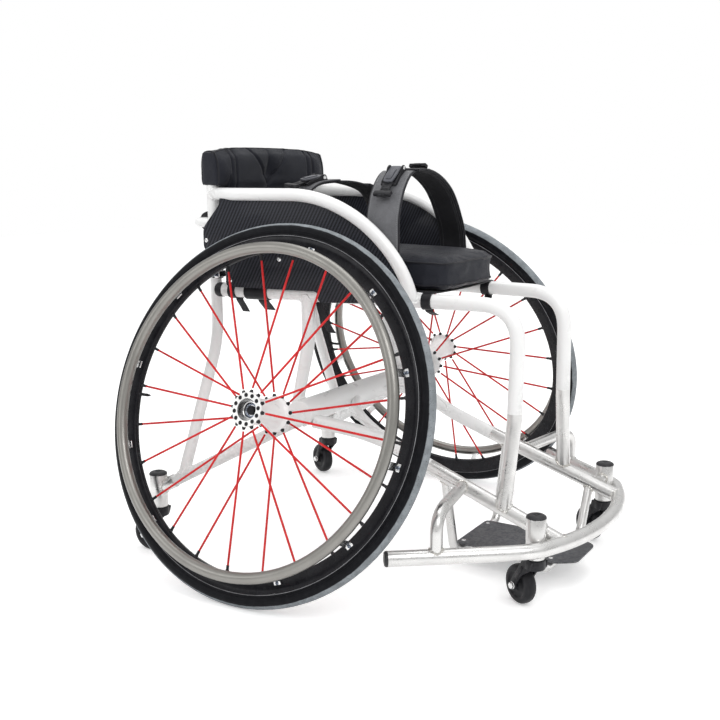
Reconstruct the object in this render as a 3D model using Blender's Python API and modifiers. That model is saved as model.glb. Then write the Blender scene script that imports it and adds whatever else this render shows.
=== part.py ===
"""Rigid sports wheelchair with cambered quick-release wheels, a bumper ring and anti-tip casters.

Metres, +Z up, the chair faces -Y. The user's left is +X. The origin is on the floor, under the middle
of the whole chair. Places along Y are given from the axle line and moved by AXLE_Y.
"""
import math

import bmesh
import bpy
from mathutils import Matrix, Vector
from mathutils.geometry import interpolate_bezier

GAP = 0.0003
MERGE = 0.00002
CUTTER_REACH = 0.001
TUBE_SIDES = 10
BEND_STEPS = 5
ROD_STEPS = 16

# Drive wheels
WHEEL_RADIUS = 0.320
TYRE_RADIUS = 0.0125
CAMBER = math.radians(17.7)
HUB_X = 0.3130
TYRE_HEIGHT = 0.0245
RIM_OUTER = WHEEL_RADIUS - TYRE_HEIGHT
RIM_DEPTH = 0.0255
RIM_INNER = RIM_OUTER - RIM_DEPTH
RIM_HALF_WIDTH = 0.0115
RIM_BED_HALF = 0.005
RIM_WALL = 0.006
RIM_EDGE = 0.001
TAB_SUNK = 0.007
TAB_PHASE = 0.25
HANDRIM_INSET = 0.0009
HANDRIM_RADIUS = RIM_INNER - HANDRIM_INSET
HANDRIM_TUBE = 0.0095
HANDRIM_OFFSET = 0.0398
HANDRIM_SIDES = 6
TAB_COUNT = 12
TAB_THICK = 0.003
TAB_RISE = 0.0032
TAB_WIDTH = 0.014
SPOKES_PER_FLANGE = 12
SPOKE_RADIUS = 0.0016
SPOKE_SLEEVE_RADIUS = 0.0024
SPOKE_SLEEVE_LENGTH = 0.014
SPOKE_ROOT = 0.002
SPOKE_PHASE = math.radians(11.6)
FLANGE_OFFSET = 0.0384
FLANGE_HALF = 0.0035
FLANGE_RADIUS = 0.029
INNER_FLANGE_RADIUS = 0.031
HUB_WAIST = 0.0225
HUB_RECESS = 0.0185
HUB_RECESS_FLOOR = 0.0105
HUB_BORE = 0.009
FLANGE_EDGE = 0.001
BEARING_RADIUS = 0.01425
BEARING_WIDTH = 0.008
SPACER_WALL = 0.0018
VALVE_RADIUS = 0.003
VALVE_LENGTH = 0.036
VALVE_ROOT = 0.002
WHEEL_STEPS = 40
CASTER_STEPS = 16
SPOKE_SIDES = 4

# Quick-release axle pin and its button
PIN_RADIUS = 0.00635
PIN_HEAD_RADIUS = 0.0150
PIN_HEAD_FACE = 0.0320
PIN_CUP_RADIUS = 0.0118
PIN_CUP_DEPTH = 0.0055
PIN_EDGE = 0.0009
PIN_HEAD_TAPER = 0.003
PIN_TIP = 0.004
PIN_ROOM = 0.030
BUTTON_RADIUS = 0.0075
BUTTON_PROUD = 0.0045
BUTTON_TRAVEL = 0.004
BUTTON_LENGTH = 0.0095
RECEIVER_RADIUS = 0.0135
RECEIVER_OUTER = 0.050
RECEIVER_INNER = 0.118

# Axle beam
BEAM_HALF_LENGTH = 0.204
BEAM_Z = 0.281
BEAM_HALF_HEIGHT = 0.021
BEAM_HALF_DEPTH = 0.026

# Seat frame
RAIL_RADIUS = 0.0125
RAIL_Z = 0.482
RAIL_REAR_X = 0.160
RAIL_REAR_Y = 0.205
RAIL_FRONT_X = 0.1045
UPRIGHT_Y = -0.366
UPRIGHT_X = 0.112
RAIL_BEND = 0.068
PAINT_EDGE_Z = 0.306

# Lower frame
LOWER_RAIL_START = Vector((0.1299, -0.22, 0.1986))
LOWER_RAIL_END_X = 0.1408
LOWER_RAIL_END_Z = 0.110
MEMBER_START = Vector((0.1882, -0.018, 0.2665))
MEMBER_CORNER = Vector((0.1265, -0.112, 0.238))
MEMBER_BEND = 0.09
UPRIGHT_FOOT = Vector((0.1395, -0.3625, 0.1475))
UPRIGHT_KNEE = 0.014
BRACE_RADIUS = 0.008
BRACE_START = Vector((0.030, -0.010, 0.281))
BRACE_SHOULDER = Vector((0.112, -0.058, 0.272))
BRACE_END = Vector((0.1262, -0.140, 0.2277))
BRACE_BEND = 0.07

# Posts and rear members
MID_POST_Y = 0.02
MID_POST_X = 0.1415
MID_POST_KNEE_Z = 0.40
MID_POST_FOOT_X = 0.184
MID_POST_TOP_RADIUS = 0.0135
MID_POST_FOOT_RADIUS = 0.0100
REAR_POST_Y = 0.215
REAR_POST_X = 0.158
REAR_POST_TOP_X = 0.161
REAR_POST_RISE = 0.056
REAR_POST_KNEE_Z = 0.39
REAR_POST_RADIUS = 0.0105
REAR_MEMBER_RADIUS = 0.0110
REAR_MEMBER_START = Vector((0.2062, 0.0145, 0.2615))
REAR_MEMBER_END_Z = 0.122
SLEEVE_RADIUS = 0.0125
SLEEVE_LENGTH = 0.038

# Bumper ring and what stands on it
RING_RADIUS = 0.0125
RING_Z = 0.112
RING_FRONT_Y = -0.4940
RING_ARC = 0.42
RING_ARC_HALF_WIDTH = 0.165
LOWER_RAIL_END_Y = RING_FRONT_Y + RING_ARC - math.sqrt(RING_ARC ** 2 - LOWER_RAIL_END_X ** 2)
LOWER_RAIL_END = Vector((LOWER_RAIL_END_X, LOWER_RAIL_END_Y, LOWER_RAIL_END_Z))
RING_CORNER = Vector((0.2040, -0.4430, RING_Z))
RING_END = Vector((0.345, -0.260, RING_Z))
RING_BEND = 0.06
RING_CAP_LENGTH = 0.006
RING_BRACE_RADIUS = 0.010
RING_BRACE_START = Vector((0.1328, -0.285, 0.1756))
RING_BRACE_TOP_Z = 0.181
RING_BRACE_Y = -0.320
RING_BRACE_BEND = 0.055

# Footplate and hoops
HOOP_RADIUS = 0.008
HOOP_Z = 0.0335
REAR_HOOP_Y = -0.25
FRONT_HOOP_Y = -0.415
HOOP_FOOT_X = 0.0905
HOOP_BEND = 0.028
PLATE_THICK = 0.003
PLATE_HALF_WIDTH = 0.068
PLATE_REAR_Y = -0.240
PLATE_FRONT_Y = -0.460
PLATE_CHAMFER_X = 0.023
PLATE_CHAMFER_Y = 0.032
PLATE_CORNER = 0.010

# Casters
CASTER_RADIUS = 0.033
CASTER_HALF_WIDTH = 0.0105
CASTER_BORE = 0.0034
CASTER_BOSS = 0.009
CASTER_BOSS_PROUD = 0.0015
CASTER_DISC = 0.026
CASTER_DISH = 0.002
CASTER_SHOULDER = 0.005
CASTER_BOLT = 0.0030
FRONT_CASTER = Vector((0.171, -0.4323, 0.0))
FRONT_TRAIL = 0.035
FRONT_SWIVEL = (math.radians(-31), math.radians(-31))
FRONT_BARREL_TOP = 0.157
REAR_CASTER = Vector((0.2847, 0.2625, 0.0))
REAR_TRAIL = 0.026
REAR_SWIVEL = (math.radians(0), math.radians(-25))
REAR_BARREL_TOP = 0.150
BARREL_RADIUS = 0.01625
BARREL_BORE = 0.0068
BARREL_BOTTOM = 0.0895
BARREL_CAP_HEIGHT = 0.0055
STEM_RADIUS = 0.0062
FRONT_LUG_Z = 0.134
LUG_RADIUS = 0.009
CROWN_RADIUS = 0.0175
CROWN_BOTTOM = 0.0720
LEG_THICK = 0.004
LEG_INNER = 0.013
LEG_TIP_RADIUS = 0.009
LEG_TIP_STEPS = 6
LEG_TOP_HALF = 0.014
CROWN_EDGE = 0.002
BOLT_HEAD_RADIUS = 0.006
BOLT_HEAD_HEIGHT = 0.003
BOLT_SUNK = 0.001
STEM_SHORTER = 0.004

# Side guards and guard tubes
GUARD_OFFSET = 0.0172
GUARD_RADIUS = 0.011
GUARD_TOP_Z = 0.656
REAR_POST_TOP_Z = GUARD_TOP_Z + REAR_POST_RISE
GUARD_SHOULDER_Y = 0.04
GUARD_FRONT_Y = -0.184
GUARD_TOP_HANDLE = 0.105
GUARD_FRONT_HANDLE = 0.093
GUARD_END_INSET = 0.0095
PANEL_THICK = 0.003
PANEL_REAR_Y = 0.224
PANEL_REAR_LOW_Z = 0.557
PANEL_REAR_HIGH_Z = 0.595
PANEL_TOP_REAR_Y = 0.187
PANEL_WAIST_Y = 0.178
PANEL_WAIST_Z = 0.530
PANEL_EDGE_Z = 0.490
PANEL_STEP_Y = -0.010
PANEL_LOW_Z = 0.471
PANEL_LOW_END_Y = -0.115
PANEL_CORNER = 0.010

# Back bar, upholstery, sling and cushion
BAR_RADIUS = 0.0085
BAR_Y = 0.258
BAR_Z = 0.6035
BAR_BEND = 0.022
BAR_SLEEVE_RADIUS = 0.0190
BAR_SLEEVE_HALF = 0.128
BACK_HALF_WIDTH = 0.178
BACK_TOP_Z = 0.7475
BACK_CORNER_Z = 0.7345
BACK_WRAP_Z = 0.6690
BACK_BOTTOM_Z = 0.560
BACK_FRONT_Y = 0.192
BACK_REAR_Y = 0.236
BACK_STEP = 0.006
BACK_THINNER = 0.010
BACK_HOLLOW = 0.016
BACK_PINCH = 0.008
BACK_CROWN = 0.002
BACK_CAGE = (-1, -0.86, -0.45, 0, 0.45, 0.86, 1)
SLING_THICK = 0.003
SLING_FRONT_Y = -0.217
SLING_REAR_Y = 0.196
SLING_INSET = 0.004
CUSHION_TOP_Z = 0.5585
CUSHION_EDGE_Z = 0.5525
CUSHION_FRONT_Y = -0.238
CUSHION_NOSE = 0.012
CUSHION_REAR_Y = 0.186
CUSHION_INSET = 0.0040
CUSHION_DRAWN_IN = 0.003
CUSHION_END_DROP = 0.004
CUSHION_ROWS = 7
WRAP_WALL = 0.0024
WRAP_SIDES = 8
WRAP_SPANS = ((-0.2165, -0.1995), (0.098, 0.146), (0.166, 0.181))

# Straps and ratchet buckles
STRAP_WIDTH = 0.045
STRAP_THICK = 0.004
STRAP_STEPS = 3
STRAP_OFFSET = 0.003
STRAP_RISE_Z = 0.570
STRAP_DRAWN_IN = 0.0045
HIP_NEAR_Y = 0.060
HIP_FAR_Y = 0.045
HIP_LAP = (
    Vector((-0.1380, 0.056, 0.636)),
    Vector((-0.1150, 0.045, 0.668)),
    Vector((-0.0750, 0.030, 0.677)),
    Vector((-0.0200, 0.012, 0.675)),
    Vector((0.0500, 0.004, 0.655)),
    Vector((0.1100, 0.020, 0.610)),
)
THIGH_NEAR_Y = -0.125
THIGH_FAR_Y = -0.129
THIGH_LAP = (
    Vector((-0.1200, -0.122, 0.622)),
    Vector((-0.0950, -0.119, 0.668)),
    Vector((-0.0600, -0.120, 0.694)),
    Vector((-0.0050, -0.130, 0.692)),
    Vector((0.0550, -0.134, 0.662)),
    Vector((0.1020, -0.132, 0.612)),
)
HIP_BUCKLE_AT = 0.38
NEAR_THIGH_BUCKLE_AT = 0.40
FAR_THIGH_BUCKLE_AT = 0.60
BUCKLE_LENGTH = 0.046
BUCKLE_WIDTH = 0.030
BUCKLE_FLOOR = 0.003
BUCKLE_CHEEK = 0.003
BUCKLE_HEIGHT = 0.012
LEVER_LENGTH = 0.040
LEVER_THICK = 0.004
LEVER_PIN = 0.0035

HUB_Z = (WHEEL_RADIUS - TYRE_RADIUS) * math.cos(CAMBER) + TYRE_RADIUS
REAR_REACH = REAR_CASTER.y + REAR_TRAIL + CASTER_RADIUS
AXLE_Y = (RING_RADIUS - RING_FRONT_Y - REAR_REACH) / 2
HUB_FACE = FLANGE_OFFSET + FLANGE_HALF
CROWN_TOP = BARREL_BOTTOM - GAP
PLATE_BOTTOM = HOOP_Z + HOOP_RADIUS + GAP
SLING_BOTTOM = RAIL_Z + RAIL_RADIUS + GAP
CUSHION_BOTTOM = SLING_BOTTOM + SLING_THICK + GAP
BACK_HEIGHT = BACK_TOP_Z - BACK_WRAP_Z
REAR_MEMBER_END = Vector((REAR_CASTER.x, REAR_CASTER.y, REAR_MEMBER_END_Z))


def clear_scene():
    """Remove what the scene holds, and make the two collections."""
    for old in list(bpy.data.objects):
        bpy.data.objects.remove(old, do_unlink=True)
    made = []
    for name in ("wheelchair", "cutters"):
        collection = bpy.data.collections.new(name)
        bpy.context.scene.collection.children.link(collection)
        made.append(collection)
    return made


PARTS, CUTTERS = clear_scene()


def finish(name, colour, roughness, metallic):
    """A material with the piece's own colour, roughness and metallic value."""
    material = bpy.data.materials.new(name)
    material.use_nodes = True
    shader = material.node_tree.nodes["Principled BSDF"]
    shader.inputs["Base Color"].default_value = (*colour, 1)
    shader.inputs["Roughness"].default_value = roughness
    shader.inputs["Metallic"].default_value = metallic
    return material


WHITE = finish("white_paint", (0.86, 0.86, 0.86), 0.35, 0)
BARE = finish("bare_aluminium", (0.60, 0.60, 0.59), 0.35, 1)
SILVER = finish("bright_metal", (0.70, 0.70, 0.70), 0.2, 1)
HANDRIM_METAL = finish("handrim_metal", (0.27, 0.26, 0.25), 0.35, 1)
BLACK = finish("black_plastic", (0.02, 0.02, 0.022), 0.45, 0)
RIM_BLACK = finish("black_rim", (0.012, 0.012, 0.014), 0.3, 0.3)
RUBBER = finish("rubber", (0.05, 0.05, 0.055), 0.7, 0)
CARBON = finish("carbon_weave", (0.02, 0.02, 0.024), 0.3, 0)
FABRIC = finish("dark_fabric", (0.02, 0.021, 0.03), 0.8, 0)
WEBBING = finish("webbing", (0.03, 0.03, 0.033), 0.7, 0)
SPOKE_RED = finish("red_fibre", (0.55, 0.02, 0.02), 0.4, 0)
PLATE_GREY = finish("footplate_grey", (0.06, 0.06, 0.065), 0.8, 0)


def from_axle(point):
    """A place given from the axle line, moved to the chair's own origin."""
    return Vector((point[0], point[1] + AXLE_Y, point[2]))


def opposite(point):
    """The same place on the other side of the chair."""
    return Vector((-point[0], point[1], point[2]))


def on_side(points, side):
    """A path of the left side, or the same path on the right where side is -1."""
    return [Vector((side * point[0], point[1], point[2])) for point in points]


def rail_x(y):
    """How far the seat rail's centre is from the middle, at a place along the seat."""
    taper = (RAIL_REAR_X - RAIL_FRONT_X) / (RAIL_REAR_Y - UPRIGHT_Y)
    return RAIL_REAR_X - (RAIL_REAR_Y - y) * taper


def guard_plane(y, z, offset=GUARD_OFFSET):
    """A point of the guard, which runs beside the tapering seat rail."""
    return Vector((rail_x(y) + offset, y, z))


def new_object(name, mesh, material, collection=None):
    """Link a mesh as a named object with one material and smooth round faces."""
    item = bpy.data.objects.new(name, mesh)
    (collection or PARTS).objects.link(item)
    mesh.materials.clear()
    mesh.materials.append(material)
    mesh.shade_smooth()
    mesh.set_sharp_from_angle(angle=math.radians(40))
    return item


def make_cutter(item):
    """Turn an object into a cutter, which the build leaves out."""
    item.hide_render = True
    item.display_type = "WIRE"
    for collection in list(item.users_collection):
        collection.objects.unlink(item)
    CUTTERS.objects.link(item)
    return item


def boolean(item, other, operation="DIFFERENCE"):
    """Cut an object with another, or join the other to it."""
    change = item.modifiers.new(operation.lower(), "BOOLEAN")
    change.operation = operation
    change.solver = "EXACT"
    change.object = other
    return item


def welded(item, others):
    """Join pieces that are welded or moulded to this one, so that they are one body with it."""
    for other in others:
        boolean(item, make_cutter(other), "UNION")
    return item


def rounded(points, bend, steps=BEND_STEPS):
    """A path with each inner corner replaced by a smooth bend that starts this far from it."""
    path = [points[0]]
    for before, corner, after in zip(points, points[1:], points[2:]):
        back = before - corner
        ahead = after - corner
        start = corner + back.normalized() * min(bend, back.length * 0.48)
        end = corner + ahead.normalized() * min(bend, ahead.length * 0.48)
        for step in range(steps + 1):
            part = step / steps
            path.append(start * (1 - part) ** 2 + corner * 2 * part * (1 - part) + end * part ** 2)
    path.append(points[-1])
    return path


def curve_mesh(name, points, radius, sides, radii=None):
    """The closed mesh of a round tube along a path."""
    curve = bpy.data.curves.new(name, "CURVE")
    curve.dimensions = "3D"
    curve.bevel_depth = radius
    curve.bevel_resolution = (sides - 4) // 2
    curve.use_fill_caps = True
    spline = curve.splines.new("POLY")
    spline.points.add(len(points) - 1)
    for index, point in enumerate(points):
        spline.points[index].co = (*point, 1)
        if radii:
            spline.points[index].radius = radii[index]
    guide = bpy.data.objects.new(name + "_path", curve)
    PARTS.objects.link(guide)
    bpy.context.view_layer.update()
    mesh = bpy.data.meshes.new_from_object(guide.evaluated_get(bpy.context.evaluated_depsgraph_get()))
    bpy.data.objects.remove(guide, do_unlink=True)
    bpy.data.curves.remove(curve)
    shape = bmesh.new()
    shape.from_mesh(mesh)
    bmesh.ops.remove_doubles(shape, verts=shape.verts, dist=MERGE)
    bmesh.ops.recalc_face_normals(shape, faces=shape.faces)
    shape.to_mesh(mesh)
    shape.free()
    mesh.name = name
    return mesh


def tube(name, points, radius, material, cutters=(), sides=TUBE_SIDES, radii=None):
    """A round tube along places given from the axle line, coped to the tubes that it lands on."""
    path = [from_axle(point) for point in points]
    item = new_object(name, curve_mesh(name, path, radius, sides, radii), material)
    for cutter in cutters:
        boolean(item, cutter)
    return item


def tube_cutter(name, points, radius, sides=TUBE_SIDES):
    """The room that a tube and its gap take up in its neighbours, a little past both ends."""
    first = points[0] + (points[0] - points[1]).normalized() * CUTTER_REACH
    last = points[-1] + (points[-1] - points[-2]).normalized() * CUTTER_REACH
    path = [first, *points[1:-1], last]
    return make_cutter(tube(name + "_room", path, radius + GAP, BLACK, sides=sides))


def turned(name, profile, material, steps, closed=True):
    """A solid turned about local Z, from (radius, height) points down its outer side."""
    shape = bmesh.new()
    verts = [shape.verts.new((radius, 0, height)) for radius, height in profile]
    for first, second in zip(verts, verts[1:]):
        shape.edges.new((first, second))
    if closed:
        shape.edges.new((verts[-1], verts[0]))
    mesh = bpy.data.meshes.new(name)
    shape.to_mesh(mesh)
    shape.free()
    item = new_object(name, mesh, material)
    screw = item.modifiers.new("turn", "SCREW")
    screw.axis = "Z"
    screw.steps = steps
    screw.render_steps = steps
    screw.use_merge_vertices = True
    screw.merge_threshold = MERGE
    screw.use_smooth_shade = False
    return item


def flat_down(item, steps):
    """Turn a wheel piece by half a facet, so that a flat and not a corner points straight down."""
    item.rotation_euler.z = math.pi / steps
    return item


def rod(name, radius, bottom, top, material, steps=ROD_STEPS):
    """A plain round rod along local Z."""
    return turned(name, ((0, top), (radius, top), (radius, bottom), (0, bottom)), material, steps, False)


def ring(name, outer, inner, bottom, top, material, steps=24):
    """A plain ring about local Z."""
    profile = ((inner, top), (outer, top), (outer, bottom), (inner, bottom))
    return turned(name, profile, material, steps)


def bmesh_object(name, shape, material):
    """Make an object from a bmesh, and free the bmesh."""
    bmesh.ops.recalc_face_normals(shape, faces=shape.faces)
    mesh = bpy.data.meshes.new(name)
    shape.to_mesh(mesh)
    shape.free()
    return new_object(name, mesh, material)


def box(name, low, high, material):
    """A box between two corners."""
    shape = bmesh.new()
    bmesh.ops.create_cube(shape, size=1)
    middle = (Vector(low) + Vector(high)) / 2
    size = Vector(high) - Vector(low)
    place = Matrix.Translation(middle) @ Matrix.Diagonal((*size, 1))
    bmesh.ops.transform(shape, matrix=place, verts=shape.verts)
    return bmesh_object(name, shape, material)


def plate(name, outline, thick, material):
    """A flat plate in local XY, from the middle of its thickness."""
    curve = bpy.data.curves.new(name, "CURVE")
    curve.dimensions = "2D"
    curve.fill_mode = "BOTH"
    curve.extrude = thick / 2
    spline = curve.splines.new("POLY")
    spline.points.add(len(outline) - 1)
    spline.use_cyclic_u = True
    for index, point in enumerate(outline):
        spline.points[index].co = (point[0], point[1], 0, 1)
    guide = bpy.data.objects.new(name + "_outline", curve)
    PARTS.objects.link(guide)
    bpy.context.view_layer.update()
    mesh = bpy.data.meshes.new_from_object(guide.evaluated_get(bpy.context.evaluated_depsgraph_get()))
    bpy.data.objects.remove(guide, do_unlink=True)
    bpy.data.curves.remove(curve)
    shape = bmesh.new()
    shape.from_mesh(mesh)
    bmesh.ops.remove_doubles(shape, verts=shape.verts, dist=MERGE)
    return bmesh_object(name, shape, material)


# Stands a plate on edge: its outline runs along local Y and Z, and its thickness along local X
UPRIGHT_PLATE = Matrix(((0, 0, 1, 0), (1, 0, 0, 0), (0, 1, 0, 0), (0, 0, 0, 1)))


def frame_at(origin, along, across):
    """A placing matrix with local X along one direction and local Y across it."""
    x = along.normalized()
    z = x.cross(across).normalized()
    y = z.cross(x)
    matrix = Matrix((x, y, z)).transposed().to_4x4()
    matrix.translation = origin
    return matrix


def guide_empty(name, matrix):
    """An empty on a joint's axis, which carries the pieces that turn with it."""
    empty = bpy.data.objects.new(name, None)
    empty.empty_display_size = 0.03
    PARTS.objects.link(empty)
    empty.matrix_world = matrix
    return empty


def carried(item, empty):
    """Place a piece in its carrier's own frame."""
    item.parent = empty
    return item


# Paths that other tubes land on
rail_path = rounded([
    Vector((RAIL_REAR_X, RAIL_REAR_Y, RAIL_Z)),
    Vector((RAIL_FRONT_X, UPRIGHT_Y, RAIL_Z)),
    Vector((UPRIGHT_X, UPRIGHT_Y, PAINT_EDGE_Z)),
], RAIL_BEND)
member_path = rounded([MEMBER_START, MEMBER_CORNER, LOWER_RAIL_START], MEMBER_BEND)
rear_post_path = rounded([
    Vector((REAR_POST_TOP_X, REAR_POST_Y, REAR_POST_TOP_Z)),
    Vector((REAR_POST_X, REAR_POST_Y, REAR_POST_KNEE_Z)),
    REAR_MEMBER_START.lerp(REAR_MEMBER_END, (REAR_POST_Y - REAR_MEMBER_START.y)
                           / (REAR_MEMBER_END.y - REAR_MEMBER_START.y)),
], 0.04)


def ring_arc_y(x):
    """The bumper ring's gentle front bow."""
    return RING_FRONT_Y + RING_ARC - math.sqrt(RING_ARC ** 2 - x ** 2)


def ring_points():
    """The bumper ring from one arm's end to the other's."""
    bow = []
    for step in range(-4, 5):
        x = RING_ARC_HALF_WIDTH * step / 4
        bow.append(Vector((x, ring_arc_y(x), RING_Z)))
    left = rounded([bow[-2], bow[-1], RING_CORNER, RING_END], RING_BEND)
    left = left[BEND_STEPS + 2:]
    right = [opposite(point) for point in reversed(left)]
    return right + bow[1:-1] + left


ring_path = ring_points()


def guard_points():
    """The guard tube, from the rear post along the top and down to the seat rail."""
    rear = Vector((REAR_POST_TOP_X, REAR_POST_Y, GUARD_TOP_Z))
    straight = [rear, guard_plane(REAR_POST_Y - 0.06, GUARD_TOP_Z)]
    shoulder = guard_plane(GUARD_SHOULDER_Y, GUARD_TOP_Z)
    foot = guard_plane(GUARD_FRONT_Y, RAIL_Z, GUARD_END_INSET)
    shoulder_handle = guard_plane(GUARD_SHOULDER_Y - GUARD_TOP_HANDLE, GUARD_TOP_Z)
    foot_handle = guard_plane(GUARD_FRONT_Y + 0.018, RAIL_Z + GUARD_FRONT_HANDLE)
    return straight + interpolate_bezier(shoulder, shoulder_handle, foot_handle, foot, 10)


guard_path = guard_points()

# Room for the tubes that others are coped to, on each side
SIDES = (("right", -1), ("left", 1))
lower_rail_reach = [LOWER_RAIL_START.lerp(LOWER_RAIL_END, -0.4), LOWER_RAIL_END]
rear_member_reach = [REAR_MEMBER_START, REAR_MEMBER_START.lerp(REAR_MEMBER_END, 1.05)]
rail_end = [Vector((rail_x(y), y, RAIL_Z)) for y in (SLING_REAR_Y, SLING_FRONT_Y - 0.03)]
ROOM = {}
for hand, side in SIDES:
    ROOM["rail", side] = tube_cutter("rail_" + hand, on_side(rail_path, side), RAIL_RADIUS)
    ROOM["rail_end", side] = tube_cutter("rail_end_" + hand, on_side(rail_end, side), RAIL_RADIUS)
    ROOM["lower_rail", side] = tube_cutter("lower_rail_" + hand, on_side(lower_rail_reach, side), RAIL_RADIUS)
    ROOM["member", side] = tube_cutter("member_" + hand, on_side(member_path, side), RAIL_RADIUS)
    ROOM["rear_post", side] = tube_cutter("rear_post_" + hand, on_side(rear_post_path, side), REAR_POST_RADIUS)
    ROOM["rear_member", side] = tube_cutter("rear_member_" + hand, on_side(rear_member_reach, side),
                                            REAR_MEMBER_RADIUS)
    ROOM["guard", side] = tube_cutter("guard_" + hand, on_side(guard_path, side), GUARD_RADIUS)
    rear_axis = [Vector((side * REAR_CASTER.x, REAR_CASTER.y, height)) for height in (0.06, 0.18)]
    front_axis = [Vector((side * FRONT_CASTER.x, FRONT_CASTER.y, height)) for height in (0.06, 0.18)]
    ROOM["rear_bore", side] = tube_cutter("rear_bore_" + hand, rear_axis, BARREL_BORE)
    ROOM["front_bore", side] = tube_cutter("front_bore_" + hand, front_axis, BARREL_BORE)
ring_room = tube_cutter("ring", ring_path, RING_RADIUS)


def oval_beam(name, grow, half_length, material):
    """The oval axle beam, or the room that it takes up."""
    shape = bmesh.new()
    bmesh.ops.create_cone(shape, cap_ends=True, segments=20, radius1=1, radius2=1, depth=2)
    size = Matrix.Diagonal((BEAM_HALF_HEIGHT + grow, BEAM_HALF_DEPTH + grow, half_length, 1))
    turn = Matrix.Rotation(math.pi / 2, 4, "Y")
    place = Matrix.Translation(from_axle((0, 0, BEAM_Z)))
    bmesh.ops.transform(shape, matrix=place @ turn @ size, verts=shape.verts)
    return bmesh_object(name, shape, material)


beam_room = make_cutter(oval_beam("beam_room", GAP, BEAM_HALF_LENGTH + GAP, BLACK))


def wheel_axis(side):
    """The placing of one wheel: local Z outward along the axle, local X down to the floor."""
    outward = Vector((side * math.cos(CAMBER), 0, math.sin(CAMBER)))
    down = Vector((side * math.sin(CAMBER), 0, -math.cos(CAMBER)))
    matrix = Matrix((down, outward.cross(down), outward)).transposed().to_4x4()
    matrix.translation = from_axle((side * HUB_X, 0, HUB_Z))
    return matrix


def receiver(name, side, grow):
    """One axle receiver along the axle line, or the room that it takes up."""
    item = rod(name, RECEIVER_RADIUS + grow, -RECEIVER_INNER - grow, -RECEIVER_OUTER + grow, WHITE)
    item.matrix_world = wheel_axis(side)
    return item


for hand, side in SIDES:
    ROOM["receiver", side] = make_cutter(receiver("receiver_room_" + hand, side, GAP))
    pin_room = rod("pin_room_" + hand, PIN_RADIUS + GAP, -RECEIVER_INNER - PIN_ROOM, 0, BLACK)
    pin_room.matrix_world = wheel_axis(side)
    ROOM["pin", side] = make_cutter(pin_room)


def seat_frame(hand, side):
    """One painted seat rail with its middle post, and the guard tube with its rear post."""
    rail = tube("seat_rail_" + hand, on_side(rail_path, side), RAIL_RADIUS, WHITE)
    middle = rounded([
        Vector((rail_x(MID_POST_Y), MID_POST_Y, RAIL_Z - 0.002)),
        Vector((MID_POST_X, MID_POST_Y, MID_POST_KNEE_Z)),
        Vector((MID_POST_FOOT_X, MID_POST_Y, BEAM_Z)),
    ], 0.03)
    taper = []
    for point in middle:
        part = (point.z - BEAM_Z) / (RAIL_Z - BEAM_Z)
        taper.append((MID_POST_FOOT_RADIUS + (MID_POST_TOP_RADIUS - MID_POST_FOOT_RADIUS) * part)
                     / MID_POST_TOP_RADIUS)
    post = tube("middle_post_" + hand, on_side(middle, side), MID_POST_TOP_RADIUS, WHITE, (), TUBE_SIDES, taper)
    welded(rail, [post])
    for cutter in (ROOM["rear_post", side], beam_room):
        boolean(rail, cutter)
    guard = tube("guard_tube_" + hand, on_side(guard_path, side), GUARD_RADIUS, WHITE)
    post = tube("rear_post_" + hand, on_side(rear_post_path, side), REAR_POST_RADIUS, WHITE)
    welded(guard, [post])
    for cutter in (ROOM["rail_end", side], ROOM["rear_member", side]):
        boolean(guard, cutter)


def lower_frame():
    """Axle beam with its receivers, side members with their braces, and the rear members."""
    beam = oval_beam("axle_beam", 0, BEAM_HALF_LENGTH, WHITE)
    welded(beam, [receiver("receiver_" + hand, side, 0) for hand, side in SIDES])
    for hand, side in SIDES:
        boolean(beam, ROOM["pin", side])
        member = tube("side_member_" + hand, on_side(member_path, side), RAIL_RADIUS, WHITE)
        brace = rounded([BRACE_START, BRACE_SHOULDER, BRACE_END], BRACE_BEND)
        welded(member, [tube("beam_brace_" + hand, on_side(brace, side), BRACE_RADIUS, WHITE)])
        for cutter in (beam_room, ROOM["receiver", side], ROOM["pin", side]):
            boolean(member, cutter)
        run = REAR_MEMBER_END - REAR_MEMBER_START
        split = REAR_MEMBER_END - run.normalized() * SLEEVE_LENGTH
        tube("rear_member_" + hand, on_side([REAR_MEMBER_START, split], side), REAR_MEMBER_RADIUS, WHITE,
             [beam_room, ROOM["receiver", side], ROOM["pin", side], ROOM["member", side]])
        sleeve = on_side([split + run.normalized() * GAP, REAR_MEMBER_END], side)
        rear = barrel("rear_barrel_" + hand, REAR_CASTER, REAR_BARREL_TOP, side)
        welded(rear, [tube("rear_sleeve_" + hand, sleeve, SLEEVE_RADIUS, BARE, (), ROD_STEPS)])
        boolean(rear, ROOM["rear_bore", side])


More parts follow.
